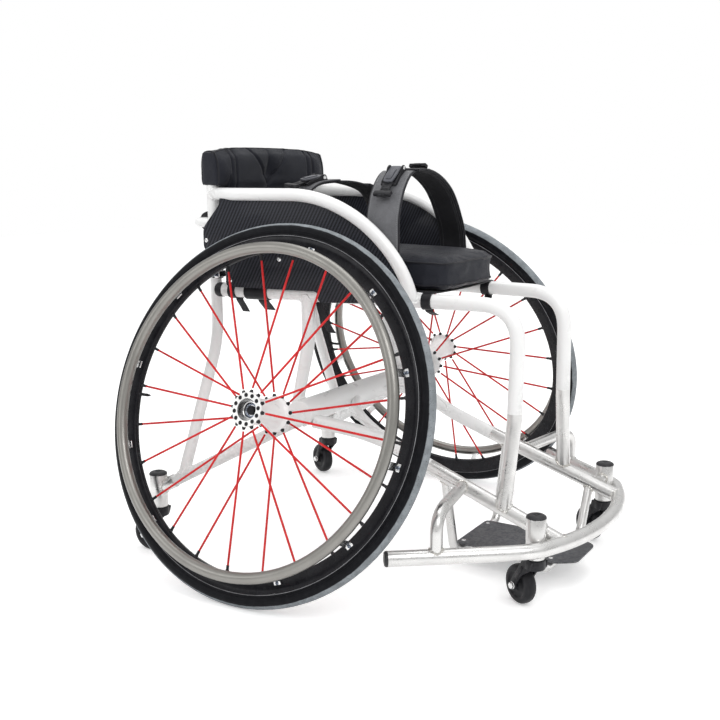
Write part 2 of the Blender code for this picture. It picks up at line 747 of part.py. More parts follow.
def front_frame(hand, side):
    """The bare lower rail with its upright and caster barrel, and the curved brace of the bumper ring."""
    joint = LOWER_RAIL_START + (LOWER_RAIL_END - LOWER_RAIL_START).normalized() * GAP
    rail = tube("lower_rail_" + hand, on_side([joint, LOWER_RAIL_END], side), RAIL_RADIUS, BARE)
    down = (rail_path[-1] - rail_path[-2]).normalized()
    top = rail_path[-1] + down * GAP
    knee = rail_path[-1] + down * UPRIGHT_KNEE
    upright = rounded([top, knee, UPRIGHT_FOOT], 0.02, 3)
    lug = [Vector((x, FRONT_CASTER.y, FRONT_LUG_Z)) for x in (LOWER_RAIL_END.x, FRONT_CASTER.x)]
    welded(rail, [
        tube("lower_upright_" + hand, on_side(upright, side), RAIL_RADIUS, BARE),
        barrel("front_barrel_" + hand, FRONT_CASTER, FRONT_BARREL_TOP, side),
        tube("barrel_lug_" + hand, on_side(lug, side), LUG_RADIUS, BARE),
    ])
    boolean(rail, ROOM["front_bore", side])
    boolean(rail, ring_room)
    arm = RING_END - RING_CORNER
    landing = RING_CORNER + arm * (RING_BRACE_Y - RING_CORNER.y) / arm.y
    shoulder = Vector((landing.x, landing.y, RING_BRACE_TOP_Z))
    brace = rounded([RING_BRACE_START, shoulder, landing], RING_BRACE_BEND)
    tube("bumper_brace_" + hand, on_side(brace, side), RING_BRACE_RADIUS, BARE,
         [ROOM["lower_rail", side], ring_room])


def hoop(name, y):
    """One hoop that hangs from the lower rails and carries the footplate."""
    part = (y - LOWER_RAIL_START.y) / (LOWER_RAIL_END.y - LOWER_RAIL_START.y)
    top = LOWER_RAIL_START.lerp(LOWER_RAIL_END, part)
    foot = Vector((HOOP_FOOT_X, y, HOOP_Z))
    path = rounded([top, foot, opposite(foot), opposite(top)], HOOP_BEND)
    return tube(name, path, HOOP_RADIUS, BARE, [ROOM["lower_rail", 1], ROOM["lower_rail", -1]])


def footplate():
    """Two hoops, and the plate that lies on them."""
    hoop("rear_hoop", REAR_HOOP_Y)
    hoop("front_hoop", FRONT_HOOP_Y)
    half = PLATE_HALF_WIDTH
    chamfer = half - PLATE_CHAMFER_X
    outline = [
        (-half + PLATE_CORNER, PLATE_REAR_Y),
        (-half, PLATE_REAR_Y - PLATE_CORNER),
        (-half, PLATE_FRONT_Y + PLATE_CHAMFER_Y),
        (-chamfer, PLATE_FRONT_Y),
        (chamfer, PLATE_FRONT_Y),
        (half, PLATE_FRONT_Y + PLATE_CHAMFER_Y),
        (half, PLATE_REAR_Y - PLATE_CORNER),
        (half - PLATE_CORNER, PLATE_REAR_Y),
    ]
    item = plate("footplate", outline, PLATE_THICK, PLATE_GREY)
    item.location = from_axle((0, 0, PLATE_BOTTOM + PLATE_THICK / 2))


def barrel(name, place, top, side):
    """One caster barrel before it is bored."""
    item = rod(name, BARREL_RADIUS, BARREL_BOTTOM, top, BARE)
    item.location = from_axle((side * place.x, place.y, 0))
    return item


def barrel_cap(name, place, top, side):
    """A domed black cap on a barrel."""
    low = top + GAP
    high = low + BARREL_CAP_HEIGHT
    dome = ((0, high), (BARREL_RADIUS * 0.6, high - 0.1 * BARREL_CAP_HEIGHT),
            (BARREL_RADIUS * 0.94, high - 0.4 * BARREL_CAP_HEIGHT), (BARREL_RADIUS * 1.02, low), (0, low))
    cap = turned(name, dome, BLACK, 16, False)
    cap.location = from_axle((side * place.x, place.y, 0))


def caps(hand, side):
    """The caps on one side's caster barrels, and the plug in the bumper ring's end."""
    barrel_cap("front_barrel_cap_" + hand, FRONT_CASTER, FRONT_BARREL_TOP, side)
    barrel_cap("rear_barrel_cap_" + hand, REAR_CASTER, REAR_BARREL_TOP, side)
    run = (RING_END - RING_CORNER).normalized()
    start = RING_END + run * GAP
    tube("ring_plug_" + hand, on_side([start, start + run * RING_CAP_LENGTH], side), RING_RADIUS, BLACK)


def fork(name, trail, stem_top, empty):
    """A caster fork: crown, two legs that lean back to the wheel, and the stem in the barrel."""
    crown = rod(name, CROWN_RADIUS, CROWN_BOTTOM, CROWN_TOP, BLACK)
    hub_z = CASTER_RADIUS
    leg_top = CROWN_TOP - CROWN_EDGE
    outline = [(-LEG_TOP_HALF, leg_top), (LEG_TOP_HALF, leg_top)]
    for step in range(LEG_TIP_STEPS + 1):
        angle = math.radians(20 - 220 * step / LEG_TIP_STEPS)
        outline.append((trail + LEG_TIP_RADIUS * math.cos(angle), hub_z + LEG_TIP_RADIUS * math.sin(angle)))
    legs = []
    for side in (-1, 1):
        leg = plate(name + "_leg_room", outline, LEG_THICK, BLACK)
        middle = side * (LEG_INNER + LEG_THICK / 2)
        leg.matrix_world = empty.matrix_world @ Matrix.Translation((middle, 0, 0)) @ UPRIGHT_PLATE
        legs.append(make_cutter(leg))
    stem = rod(name + "_stem_room", STEM_RADIUS, CROWN_TOP - 2 * CROWN_EDGE, stem_top, BLACK, TUBE_SIDES)
    stem.matrix_world = empty.matrix_world
    make_cutter(stem)
    carried(crown, empty)
    for piece in (*legs, stem):
        boolean(crown, piece, "UNION")
    reach = LEG_INNER + LEG_THICK
    head = reach + BOLT_HEAD_HEIGHT
    under = reach - BOLT_SUNK
    profile = (
        (0, head), (BOLT_HEAD_RADIUS, head), (BOLT_HEAD_RADIUS, under), (CASTER_BOLT, under),
        (CASTER_BOLT, -under), (BOLT_HEAD_RADIUS, -under), (BOLT_HEAD_RADIUS, -head), (0, -head),
    )
    bolt = turned(name + "_bolt", profile, SILVER, 8, False)
    bolt.matrix_world = empty.matrix_world @ Matrix.Translation((0, trail, hub_z)) @ Matrix.Rotation(
        math.pi / 2, 4, "Y")
    welded(crown, [bolt])


def caster(label, place, trail, swivel, barrel_top):
    """One caster: fork with its bolt, and wheel."""
    matrix = Matrix.Translation(from_axle(place)) @ Matrix.Rotation(swivel, 4, "Z")
    empty = guide_empty(label + "_swivel", matrix)
    fork(label + "_fork", trail, barrel_top - STEM_SHORTER, empty)
    axle = guide_empty(label + "_axle", matrix @ Matrix.Translation((0, trail, CASTER_RADIUS))
                       @ Matrix.Rotation(math.pi / 2, 4, "Y"))
    half = CASTER_HALF_WIDTH
    boss = half + CASTER_BOSS_PROUD
    dish = half - CASTER_DISH
    tread = half - CASTER_SHOULDER
    corner = CASTER_RADIUS / math.cos(math.pi / CASTER_STEPS)
    profile = (
        (CASTER_BORE, boss), (CASTER_BOSS, boss), (CASTER_BOSS + 0.003, dish), (CASTER_DISC, half),
        (corner, tread), (corner, -tread), (CASTER_DISC, -half),
        (CASTER_BOSS + 0.003, -dish), (CASTER_BOSS, -boss), (CASTER_BORE, -boss),
    )
    carried(flat_down(turned(label + "_wheel", profile, RUBBER, CASTER_STEPS), CASTER_STEPS), axle)


def casters():
    """Two front casters and two rear anti-tip casters."""
    for index, (hand, side) in enumerate(SIDES):
        front = Vector((side * FRONT_CASTER.x, FRONT_CASTER.y, 0))
        rear = Vector((side * REAR_CASTER.x, REAR_CASTER.y, 0))
        caster("front_caster_" + hand, front, FRONT_TRAIL, FRONT_SWIVEL[index], FRONT_BARREL_TOP)
        caster("rear_caster_" + hand, rear, REAR_TRAIL, REAR_SWIVEL[index], REAR_BARREL_TOP)


def tyre_profile():
    """Tyre section: one corner lies straight down, so that the leaning tyre meets the floor on it."""
    middle = WHEEL_RADIUS - TYRE_RADIUS
    corner = 1 / math.cos(math.pi / WHEEL_STEPS)
    profile = [(RIM_OUTER + GAP, RIM_HALF_WIDTH - RIM_EDGE)]
    for step in (2.9, 2, 1, 0, -1, -1.9):
        angle = math.radians(45) * step - CAMBER
        profile.append(((middle + TYRE_RADIUS * math.cos(angle)) * corner, TYRE_RADIUS * math.sin(angle)))
    profile.append((RIM_OUTER + GAP, RIM_EDGE - RIM_HALF_WIDTH))
    return profile


def spokes(name, matrix):
    """Spokes from both hub flanges to the rim, each with a thicker sleeve at the rim."""
    shape = bmesh.new()
    count = 2 * SPOKES_PER_FLANGE
    lean_share = FLANGE_OFFSET / (RIM_INNER - INNER_FLANGE_RADIUS)
    rim_floor = RIM_INNER * math.cos(math.pi / WHEEL_STEPS) - SPOKE_SLEEVE_RADIUS * lean_share
    for index in range(count):
        outer = index % 2 == 1
        angle = SPOKE_PHASE + 2 * math.pi * index / count
        foot = FLANGE_RADIUS if outer else INNER_FLANGE_RADIUS
        start = Vector((foot - SPOKE_ROOT, 0, FLANGE_OFFSET if outer else -FLANGE_OFFSET))
        end = Vector((rim_floor - GAP, 0, 0))
        run = (end - start).normalized()
        lean = run.to_track_quat("Z", "Y").to_matrix().to_4x4()
        place = Matrix.Rotation(angle, 4, "Z") @ Matrix.Translation(start) @ lean
        length = (end - start).length
        stations = ((0, SPOKE_RADIUS), (length - SPOKE_SLEEVE_LENGTH, SPOKE_RADIUS),
                    (length - SPOKE_SLEEVE_LENGTH + 0.0004, SPOKE_SLEEVE_RADIUS), (length, SPOKE_SLEEVE_RADIUS))
        rings = []
        for height, radius in stations:
            circle = bmesh.ops.create_circle(shape, segments=SPOKE_SIDES, radius=radius,
                                             matrix=place @ Matrix.Translation((0, 0, height)))["verts"]
            rings.append(circle)
        for low, high in zip(rings, rings[1:]):
            for corner in range(SPOKE_SIDES):
                after = (corner + 1) % SPOKE_SIDES
                shape.faces.new((low[corner], low[after], high[after], high[corner]))
        shape.faces.new(rings[0])
        shape.faces.new(rings[-1])
    item = bmesh_object(name, shape, SPOKE_RED)
    item.matrix_world = matrix
    return item


def handrim_tabs(name, matrix):
    """Short bars from the rim's outboard wall up into the handrim."""
    shape = bmesh.new()
    foot = Vector((RIM_INNER + TAB_SUNK, 0, RIM_BED_HALF + TAB_RISE))
    centre = Vector((HANDRIM_RADIUS, 0, HANDRIM_OFFSET))
    run = (centre - foot).normalized()
    end = centre - run * (HANDRIM_TUBE * 0.6)
    lean = run.to_track_quat("Z", "Y").to_matrix().to_4x4()
    size = Matrix.Diagonal((TAB_THICK, TAB_WIDTH, (end - foot).length, 1))
    for index in range(TAB_COUNT):
        turn = Matrix.Rotation(SPOKE_PHASE + 2 * math.pi * (index + TAB_PHASE) / TAB_COUNT, 4, "Z")
        place = turn @ Matrix.Translation((foot + end) / 2) @ lean @ size
        bmesh.ops.create_cube(shape, size=1, matrix=place)
    item = bmesh_object(name, shape, SILVER)
    item.matrix_world = matrix
    return item


def hub_profile():
    """Hub shell with two flanges, bearing seats and the recess round the axle pin's head."""
    seat = BEARING_RADIUS + GAP
    inner_face = -HUB_FACE
    inner_seat = inner_face + BEARING_WIDTH + GAP
    outer_seat = HUB_RECESS_FLOOR - BEARING_WIDTH - GAP
    waist_end = FLANGE_OFFSET - 2 * FLANGE_HALF
    return (
        (HUB_RECESS, HUB_FACE), (FLANGE_RADIUS - FLANGE_EDGE, HUB_FACE),
        (FLANGE_RADIUS, HUB_FACE - FLANGE_EDGE), (FLANGE_RADIUS, FLANGE_OFFSET - FLANGE_HALF),
        (HUB_WAIST + FLANGE_EDGE, waist_end),
        (HUB_WAIST, HUB_RECESS_FLOOR), (HUB_WAIST, -HUB_RECESS_FLOOR), (HUB_WAIST + FLANGE_EDGE, -waist_end),
        (INNER_FLANGE_RADIUS, -FLANGE_OFFSET + FLANGE_HALF), (INNER_FLANGE_RADIUS, inner_face),
        (seat, inner_face), (seat, inner_seat), (HUB_BORE, inner_seat), (HUB_BORE, outer_seat),
        (seat, outer_seat), (seat, HUB_RECESS_FLOOR), (HUB_RECESS, HUB_RECESS_FLOOR),
    )


def drive_wheel(hand, side):
    """One drive wheel with its handrim, all turning about the axle."""
    empty = guide_empty("wheel_" + hand + "_axle", wheel_axis(side))
    tyre = turned("tyre_" + hand, tyre_profile(), RUBBER, WHEEL_STEPS)
    carried(flat_down(tyre, WHEEL_STEPS), empty)
    rim = (
        (RIM_OUTER, RIM_HALF_WIDTH - RIM_EDGE), (RIM_OUTER, RIM_EDGE - RIM_HALF_WIDTH),
        (RIM_OUTER - RIM_WALL, -RIM_HALF_WIDTH), (RIM_INNER, -RIM_BED_HALF), (RIM_INNER, RIM_BED_HALF),
        (RIM_OUTER - RIM_WALL, RIM_HALF_WIDTH),
    )
    wheel_rim = turned("rim_" + hand, rim, RIM_BLACK, WHEEL_STEPS)
    carried(flat_down(wheel_rim, WHEEL_STEPS), empty)
    hub = turned("spoked_hub_" + hand, hub_profile(), WHITE, ROD_STEPS)
    carried(hub, empty)
    welded(hub, [spokes("spokes_" + hand, wheel_axis(side))])
    low = -HUB_FACE
    high = HUB_RECESS_FLOOR
    bore = PIN_RADIUS + GAP
    spacer = bore + SPACER_WALL
    bearings = (
        (bore, high), (BEARING_RADIUS, high), (BEARING_RADIUS, high - BEARING_WIDTH),
        (spacer, high - BEARING_WIDTH), (spacer, low + BEARING_WIDTH), (BEARING_RADIUS, low + BEARING_WIDTH),
        (BEARING_RADIUS, low), (bore, low),
    )
    carried(turned("hub_bearings_" + hand, bearings, SILVER, 16), empty)
    profile = []
    for step in range(HANDRIM_SIDES):
        angle = -2 * math.pi * (step + 0.5) / HANDRIM_SIDES
        profile.append((HANDRIM_RADIUS + HANDRIM_TUBE * math.cos(angle),
                        HANDRIM_OFFSET + HANDRIM_TUBE * math.sin(angle)))
    handrim = turned("handrim_" + hand, profile, HANDRIM_METAL, WHEEL_STEPS)
    carried(flat_down(handrim, WHEEL_STEPS), empty)
    welded(handrim, [handrim_tabs("handrim_tabs_" + hand, wheel_axis(side))])
    valve = rod("valve_" + hand, VALVE_RADIUS, 0, VALVE_LENGTH, BLACK, 8)
    turn = math.pi / 2 if side > 0 else -math.pi / 2
    valve.matrix_world = wheel_axis(side) @ Matrix.Rotation(turn, 4, "Z") @ Matrix.Translation(
        (RIM_INNER + VALVE_ROOT, 0, 0)) @ Matrix.Rotation(-math.pi / 2, 4, "Y")
    welded(wheel_rim, [valve])


def axle_pin(hand, side):
    """One quick-release pin, which stays with the frame, and its release button."""
    empty = guide_empty("pin_" + hand + "_line", wheel_axis(side))
    cup_floor = PIN_HEAD_FACE - PIN_CUP_DEPTH
    bore = BUTTON_RADIUS + GAP
    bore_floor = cup_floor + BUTTON_PROUD - BUTTON_LENGTH - BUTTON_TRAVEL - GAP
    head_back = HUB_RECESS_FLOOR + GAP
    profile = (
        (bore, bore_floor), (bore, cup_floor), (PIN_CUP_RADIUS, cup_floor),
        (PIN_CUP_RADIUS + PIN_EDGE, PIN_HEAD_FACE), (PIN_HEAD_RADIUS - PIN_EDGE, PIN_HEAD_FACE),
        (PIN_HEAD_RADIUS, PIN_HEAD_FACE - PIN_EDGE), (PIN_HEAD_RADIUS, head_back + PIN_HEAD_TAPER),
        (PIN_HEAD_RADIUS - PIN_HEAD_TAPER, head_back), (PIN_RADIUS, head_back),
        (PIN_RADIUS, -RECEIVER_INNER - PIN_TIP), (0, -RECEIVER_INNER - 1.5 * PIN_TIP),
    )
    carried(turned("axle_pin_" + hand, ((0, bore_floor), *profile), SILVER, 16, False), empty)
    top = cup_floor + BUTTON_PROUD
    button = (
        (0, top), (BUTTON_RADIUS - 0.001, top), (BUTTON_RADIUS, top - 0.001),
        (BUTTON_RADIUS, top - BUTTON_LENGTH), (0, top - BUTTON_LENGTH),
    )
    carried(turned("release_button_" + hand, button, BLACK, 12, False), empty)


def guard_outline():
    """Side panel outline as (distance along the rail, height), from the rear top corner round."""
    step_out = PANEL_CORNER
    raw = [
        (PANEL_TOP_REAR_Y, GUARD_TOP_Z),
        (PANEL_TOP_REAR_Y, PANEL_REAR_HIGH_Z + 0.044),
        (PANEL_REAR_Y, PANEL_REAR_HIGH_Z),
        (PANEL_REAR_Y, PANEL_REAR_LOW_Z),
        (PANEL_WAIST_Y, PANEL_WAIST_Z),
        (PANEL_WAIST_Y, PANEL_EDGE_Z + step_out),
        (PANEL_WAIST_Y - step_out * 0.3, PANEL_EDGE_Z + step_out * 0.3),
        (PANEL_WAIST_Y - step_out, PANEL_EDGE_Z),
        (PANEL_STEP_Y, PANEL_EDGE_Z),
        (PANEL_STEP_Y - 0.001, PANEL_LOW_Z + step_out * 0.8),
        (PANEL_STEP_Y - 0.004, PANEL_LOW_Z + step_out * 0.3),
        (PANEL_STEP_Y - 0.010, PANEL_LOW_Z),
        (PANEL_LOW_END_Y, PANEL_LOW_Z + 0.004),
    ]
    edge = [(point.y, point.z) for point in guard_path[2:]]
    front = [point for point in reversed(edge) if point[1] > RAIL_Z + 0.012]
    return raw + front


def side_guards():
    """Carbon panels beside the seat, held by the guard tubes and screwed to the rail."""
    lean = math.atan2(RAIL_REAR_X - RAIL_FRONT_X, RAIL_REAR_Y - UPRIGHT_Y)
    stretch = 1 / math.cos(lean)
    outline = [((y - RAIL_REAR_Y) * stretch, z) for y, z in guard_outline()]
    for hand, side in SIDES:
        item = plate("side_guard_" + hand, outline, PANEL_THICK, CARBON)
        along = Vector((side * math.sin(lean), math.cos(lean), 0))
        matrix = Matrix((along, Vector((0, 0, 1)), along.cross(Vector((0, 0, 1))))).transposed().to_4x4()
        matrix.translation = from_axle((side * (RAIL_REAR_X + GUARD_OFFSET * stretch), RAIL_REAR_Y, 0))
        item.matrix_world = matrix
        boolean(item, ROOM["guard", side])


def back_bar():
    """The bar behind the backrest, bent forward to the rear posts, and its foam sleeve."""
    part = (BAR_Z - REAR_POST_KNEE_Z) / (REAR_POST_TOP_Z - REAR_POST_KNEE_Z)
    x = REAR_POST_X + (REAR_POST_TOP_X - REAR_POST_X) * part
    start = Vector((x, REAR_POST_Y, BAR_Z))
    corner = Vector((x, BAR_Y, BAR_Z))
    path = rounded([start, corner, opposite(corner), opposite(start)], BAR_BEND)
    tube("back_bar", path, BAR_RADIUS, WHITE, [ROOM["rear_post", 1], ROOM["rear_post", -1]])
    sleeve = ring("back_bar_sleeve", BAR_SLEEVE_RADIUS, BAR_RADIUS + GAP, -BAR_SLEEVE_HALF, BAR_SLEEVE_HALF,
                  BLACK, 16)
    middle = from_axle((0, BAR_Y, BAR_Z))
    sleeve.matrix_world = Matrix.Translation(middle) @ Matrix.Rotation(math.pi / 2, 4, "Y")


def loft(name, sections, material, levels):
    """A soft closed form from rings of cage points, smoothed by subdivision."""
    shape = bmesh.new()
    rings = [[shape.verts.new(from_axle(point)) for point in section] for section in sections]
    count = len(rings[0])
    for low, high in zip(rings, rings[1:]):
        for index in range(count):
            after = (index + 1) % count
            shape.faces.new((low[index], low[after], high[after], high[index]))
    shape.faces.new(list(reversed(rings[0])))
    shape.faces.new(rings[-1])
    item = bmesh_object(name, shape, material)
    smooth = item.modifiers.new("soft", "SUBSURF")
    smooth.levels = levels
    smooth.render_levels = levels
    return item


def cushion():
    """Seat cushion: crowned top, sides that draw in, and a bowed front."""
    sections = []
    across = (-1, -0.6, -0.2, 0.2, 0.6, 1)
    last = CUSHION_ROWS - 1
    for index in range(CUSHION_ROWS):
        part = index / last
        y = CUSHION_REAR_Y + (CUSHION_FRONT_Y - CUSHION_REAR_Y) * part
        half = rail_x(y) - CUSHION_INSET
        crown = (CUSHION_TOP_Z - CUSHION_EDGE_Z) * math.sin(math.pi * min(max(part, 0.05), 0.95))
        middle = (CUSHION_BOTTOM + CUSHION_EDGE_Z) / 2
        drop = CUSHION_END_DROP if index in (0, last) else 0
        nose = CUSHION_NOSE * {last: 1, last - 1: 0.5}.get(index, 0)
        section = []
        for share in across:
            rounding = 1 - share ** 2
            top = CUSHION_EDGE_Z - drop + crown * rounding
            section.append(Vector((share * half, y - nose * rounding, top)))
        section.append(Vector((half - CUSHION_DRAWN_IN, y, middle)))
        for share in reversed(across):
            section.append(Vector((share * half, y - nose * (1 - share ** 2), CUSHION_BOTTOM)))
        section.append(Vector((CUSHION_DRAWN_IN - half, y, middle)))
        sections.append(section)
    return loft("cushion", sections, FABRIC, 1)


def sling():
    """The seat sling over the rails, with the webbing wraps that hold it to them."""
    corners = [
        (-rail_x(SLING_REAR_Y) + SLING_INSET, SLING_REAR_Y),
        (-rail_x(SLING_FRONT_Y) + SLING_INSET, SLING_FRONT_Y),
        (rail_x(SLING_FRONT_Y) - SLING_INSET, SLING_FRONT_Y),
        (rail_x(SLING_REAR_Y) - SLING_INSET, SLING_REAR_Y),
    ]
    item = plate("seat_sling", corners, SLING_THICK, WEBBING)
    item.location = from_axle((0, 0, SLING_BOTTOM + SLING_THICK / 2))
    lid = make_cutter(box("above_sling", from_axle((-0.3, -0.4, SLING_BOTTOM + SLING_THICK / 2)),
                          from_axle((0.3, 0.4, SLING_BOTTOM + 0.1)), BLACK))
    for hand, side in SIDES:
        for index, (first, last) in enumerate(WRAP_SPANS):
            path = on_side([Vector((rail_x(first), first, RAIL_Z)), Vector((rail_x(last), last, RAIL_Z))], side)
            label = "wrap_" + hand + str(index)
            wrap = tube(label, path, RAIL_RADIUS + GAP + WRAP_WALL, BLACK, [lid], WRAP_SIDES)
            welded(item, [wrap])
        boolean(item, ROOM["rail_end", side])


def upholstery():
    """Backrest cover: a padded panel that wraps round both rear posts above the guard tubes."""
    sections = []
    lower = (BACK_BOTTOM_Z, BACK_WRAP_Z - BACK_STEP)
    upper = (BACK_WRAP_Z, BACK_WRAP_Z + 0.4 * BACK_HEIGHT, BACK_WRAP_Z + 0.68 * BACK_HEIGHT, BACK_TOP_Z)
    for z in lower + upper:
        wide = z in upper
        half = BACK_HALF_WIDTH if wide else REAR_POST_X - REAR_POST_RADIUS - BACK_STEP / 2
        front = BACK_FRONT_Y if wide else BACK_FRONT_Y + BACK_STEP
        rear = BACK_REAR_Y if wide else BACK_REAR_Y - BACK_THINNER
        centre_front = BACK_FRONT_Y + BACK_HOLLOW
        top = z == BACK_TOP_Z
        sink = BACK_TOP_Z - BACK_CORNER_Z if top else 0
        pinch = BACK_PINCH if top else 0
        section = []
        for share in BACK_CAGE:
            bowl = (centre_front - front) * (1 - share ** 2)
            section.append(Vector((share * half, front + bowl + pinch, z - sink * share ** 2)))
        for share in reversed(BACK_CAGE):
            back = rear + BACK_CROWN * (1 - share ** 2) - pinch
            section.append(Vector((share * half, back, z - sink * share ** 2)))
        sections.append(section)
    item = loft("back_upholstery", sections, FABRIC, 1)
    for _hand, side in SIDES:
        boolean(item, ROOM["rear_post", side])
        boolean(item, ROOM["guard", side])


def smooth_path(points, steps):
    """A smooth path through points chosen by hand."""
    path = []
    count = len(points)
    for index in range(count - 1):
        before = points[max(index - 1, 0)]
        after = points[min(index + 2, count - 1)]
        start, end = points[index], points[index + 1]
        first = start + (end - before) / 6
        second = end - (after - start) / 6
        piece = interpolate_bezier(start, first, second, end, steps + 1)
        path.extend(piece if index == count - 2 else piece[:-1])
    return path


def strap_points(near_y, lap, far_y):
    """A strap from beside the cushion on the right, over the lap and down on the left."""
    foot_z = RAIL_Z + RAIL_RADIUS - GAP
    near = guard_plane(near_y, foot_z, STRAP_OFFSET)
    far = guard_plane(far_y, foot_z, STRAP_OFFSET)
    near_rise = guard_plane(near_y, STRAP_RISE_Z, STRAP_OFFSET - STRAP_DRAWN_IN)
    far_rise = guard_plane(far_y, STRAP_RISE_Z, STRAP_OFFSET - STRAP_DRAWN_IN)
    return [opposite(near), opposite(near_rise), *lap, far_rise, far]


def strap_across(point):
    """The strap's width at a point: along the seat, and turned with the rail's taper at its sides."""
    taper = (RAIL_REAR_X - RAIL_FRONT_X) / (RAIL_REAR_Y - UPRIGHT_Y)
    share = max(-1, min(1, point.x / RAIL_FRONT_X))
    return Vector((share * taper * STRAP_WIDTH, STRAP_WIDTH, 0))


def strap(name, points):
    """A flat webbing strap along a path, its width along the seat."""
    shape = bmesh.new()
    path = [from_axle(point) for point in smooth_path(points, STRAP_STEPS)]
    verts = [shape.verts.new(point - strap_across(point) / 2) for point in path]
    edges = [shape.edges.new(pair) for pair in zip(verts, verts[1:])]
    made = bmesh.ops.extrude_edge_only(shape, edges=edges)["geom"]
    for vert in made:
        if isinstance(vert, bmesh.types.BMVert):
            vert.co += strap_across(vert.co)
    item = bmesh_object(name, shape, WEBBING)
    thick = item.modifiers.new("thick", "SOLIDIFY")
    thick.thickness = STRAP_THICK
    thick.offset = 0
    item.modifiers.new("flat_faces", "TRIANGULATE")
    return item


def buckle(label, strap_piece, points, at):
    """A ratchet buckle on a strap: a base with two cheeks, and a lever that hinges between them."""
    path = smooth_path(points, STRAP_STEPS)
    index = int(at * (len(path) - 1))
    along = path[index + 1] - path[index]
    middle = from_axle((path[index + 1] + path[index]) / 2)
    matrix = frame_at(middle, along, Vector((0, 1, 0)))
    if matrix.col[2].z < 0:
        matrix = frame_at(middle, -along, Vector((0, 1, 0)))
    low = STRAP_THICK / 2 - 0.0005
    half = BUCKLE_LENGTH / 2
    side = BUCKLE_WIDTH / 2
    wall = side - BUCKLE_CHEEK
    section = [
        (-side, low), (side, low), (side, low + BUCKLE_HEIGHT), (wall, low + BUCKLE_HEIGHT),
        (wall, low + BUCKLE_FLOOR), (-wall, low + BUCKLE_FLOOR), (-wall, low + BUCKLE_HEIGHT),
        (-side, low + BUCKLE_HEIGHT),
    ]
    base = plate(label + "_buckle_base", section, BUCKLE_LENGTH, BLACK)
    base.matrix_world = matrix @ UPRIGHT_PLATE
    welded(strap_piece, [base])
    pin_x = half - 0.006
    pin_z = low + BUCKLE_FLOOR + GAP + LEVER_PIN
    hinge = guide_empty(label + "_lever_hinge", matrix @ Matrix.Translation((pin_x, 0, pin_z)))
    reach = side - BUCKLE_CHEEK - GAP
    lever = box(label + "_buckle_lever", (-LEVER_LENGTH, -reach, 0.0), (-0.001, reach, LEVER_THICK), SILVER)
    pin = rod(label + "_lever_pin_room", LEVER_PIN, -reach, reach, SILVER, 12)
    pin.matrix_world = hinge.matrix_world @ Matrix.Rotation(math.pi / 2, 4, "X")
    boolean(lever, make_cutter(pin), "UNION")
    carried(lever, hinge)


def straps():
    """The hip and thigh straps and their three ratchet buckles."""
    hip_path = strap_points(HIP_NEAR_Y, HIP_LAP, HIP_FAR_Y)
    thigh_path = strap_points(THIGH_NEAR_Y, THIGH_LAP, THIGH_FAR_Y)
    hip = strap("hip_strap", hip_path)
    thigh = strap("thigh_strap", thigh_path)
    buckle("hip", hip, hip_path, HIP_BUCKLE_AT)
    buckle("near_thigh", thigh, thigh_path, NEAR_THIGH_BUCKLE_AT)
    buckle("far_thigh", thigh, thigh_path, FAR_THIGH_BUCKLE_AT)


lower_frame()
footplate()
casters()
side_guards()
back_bar()
sling()
cushion()
upholstery()
straps()
for hand, side in SIDES:
    seat_frame(hand, side)
    front_frame(hand, side)
    caps(hand, side)
    drive_wheel(hand, side)
    axle_pin(hand, side)
tube("bumper_ring", ring_path, RING_RADIUS, BARE)
bpy.context.view_layer.update()
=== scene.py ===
"""Dresses the rigid sports wheelchair: fine shapes, soft goods and finishes over the jointed CAD frame.

Metres, +Z up, the chair faces -Y. Places along Y are given from the axle line and moved by AXLE_Y.
"""
from math import atan2, copysign, cos, exp, hypot, pi, radians, sin, sqrt, tan

import bmesh
import bpy
from bpy.props import FloatProperty, FloatVectorProperty, IntProperty, PointerProperty
from mathutils import Matrix, Vector, noise
from mathutils.geometry import interpolate_bezier


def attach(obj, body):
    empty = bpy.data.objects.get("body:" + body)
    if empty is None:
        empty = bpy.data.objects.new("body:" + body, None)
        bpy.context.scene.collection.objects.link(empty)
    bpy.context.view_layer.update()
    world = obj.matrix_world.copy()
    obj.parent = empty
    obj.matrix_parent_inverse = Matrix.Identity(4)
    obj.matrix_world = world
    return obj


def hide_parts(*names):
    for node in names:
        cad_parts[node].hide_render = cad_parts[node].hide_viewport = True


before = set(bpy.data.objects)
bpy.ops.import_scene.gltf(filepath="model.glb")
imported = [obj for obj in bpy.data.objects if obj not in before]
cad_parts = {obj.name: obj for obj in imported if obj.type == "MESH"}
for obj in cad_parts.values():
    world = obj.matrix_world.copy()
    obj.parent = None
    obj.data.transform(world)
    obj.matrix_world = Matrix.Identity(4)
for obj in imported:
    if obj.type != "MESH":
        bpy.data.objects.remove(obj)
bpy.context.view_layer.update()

bl_info = {
    "name": "Sports wheelchair dressing",
    "version": (1, 0, 0),
    "blender": (4, 5, 0),
    "location": "3D View > Sidebar > Wheelchair",
    "description": "Models and finishes the visible pieces of a rigid sports wheelchair",
    "category": "Object",
}

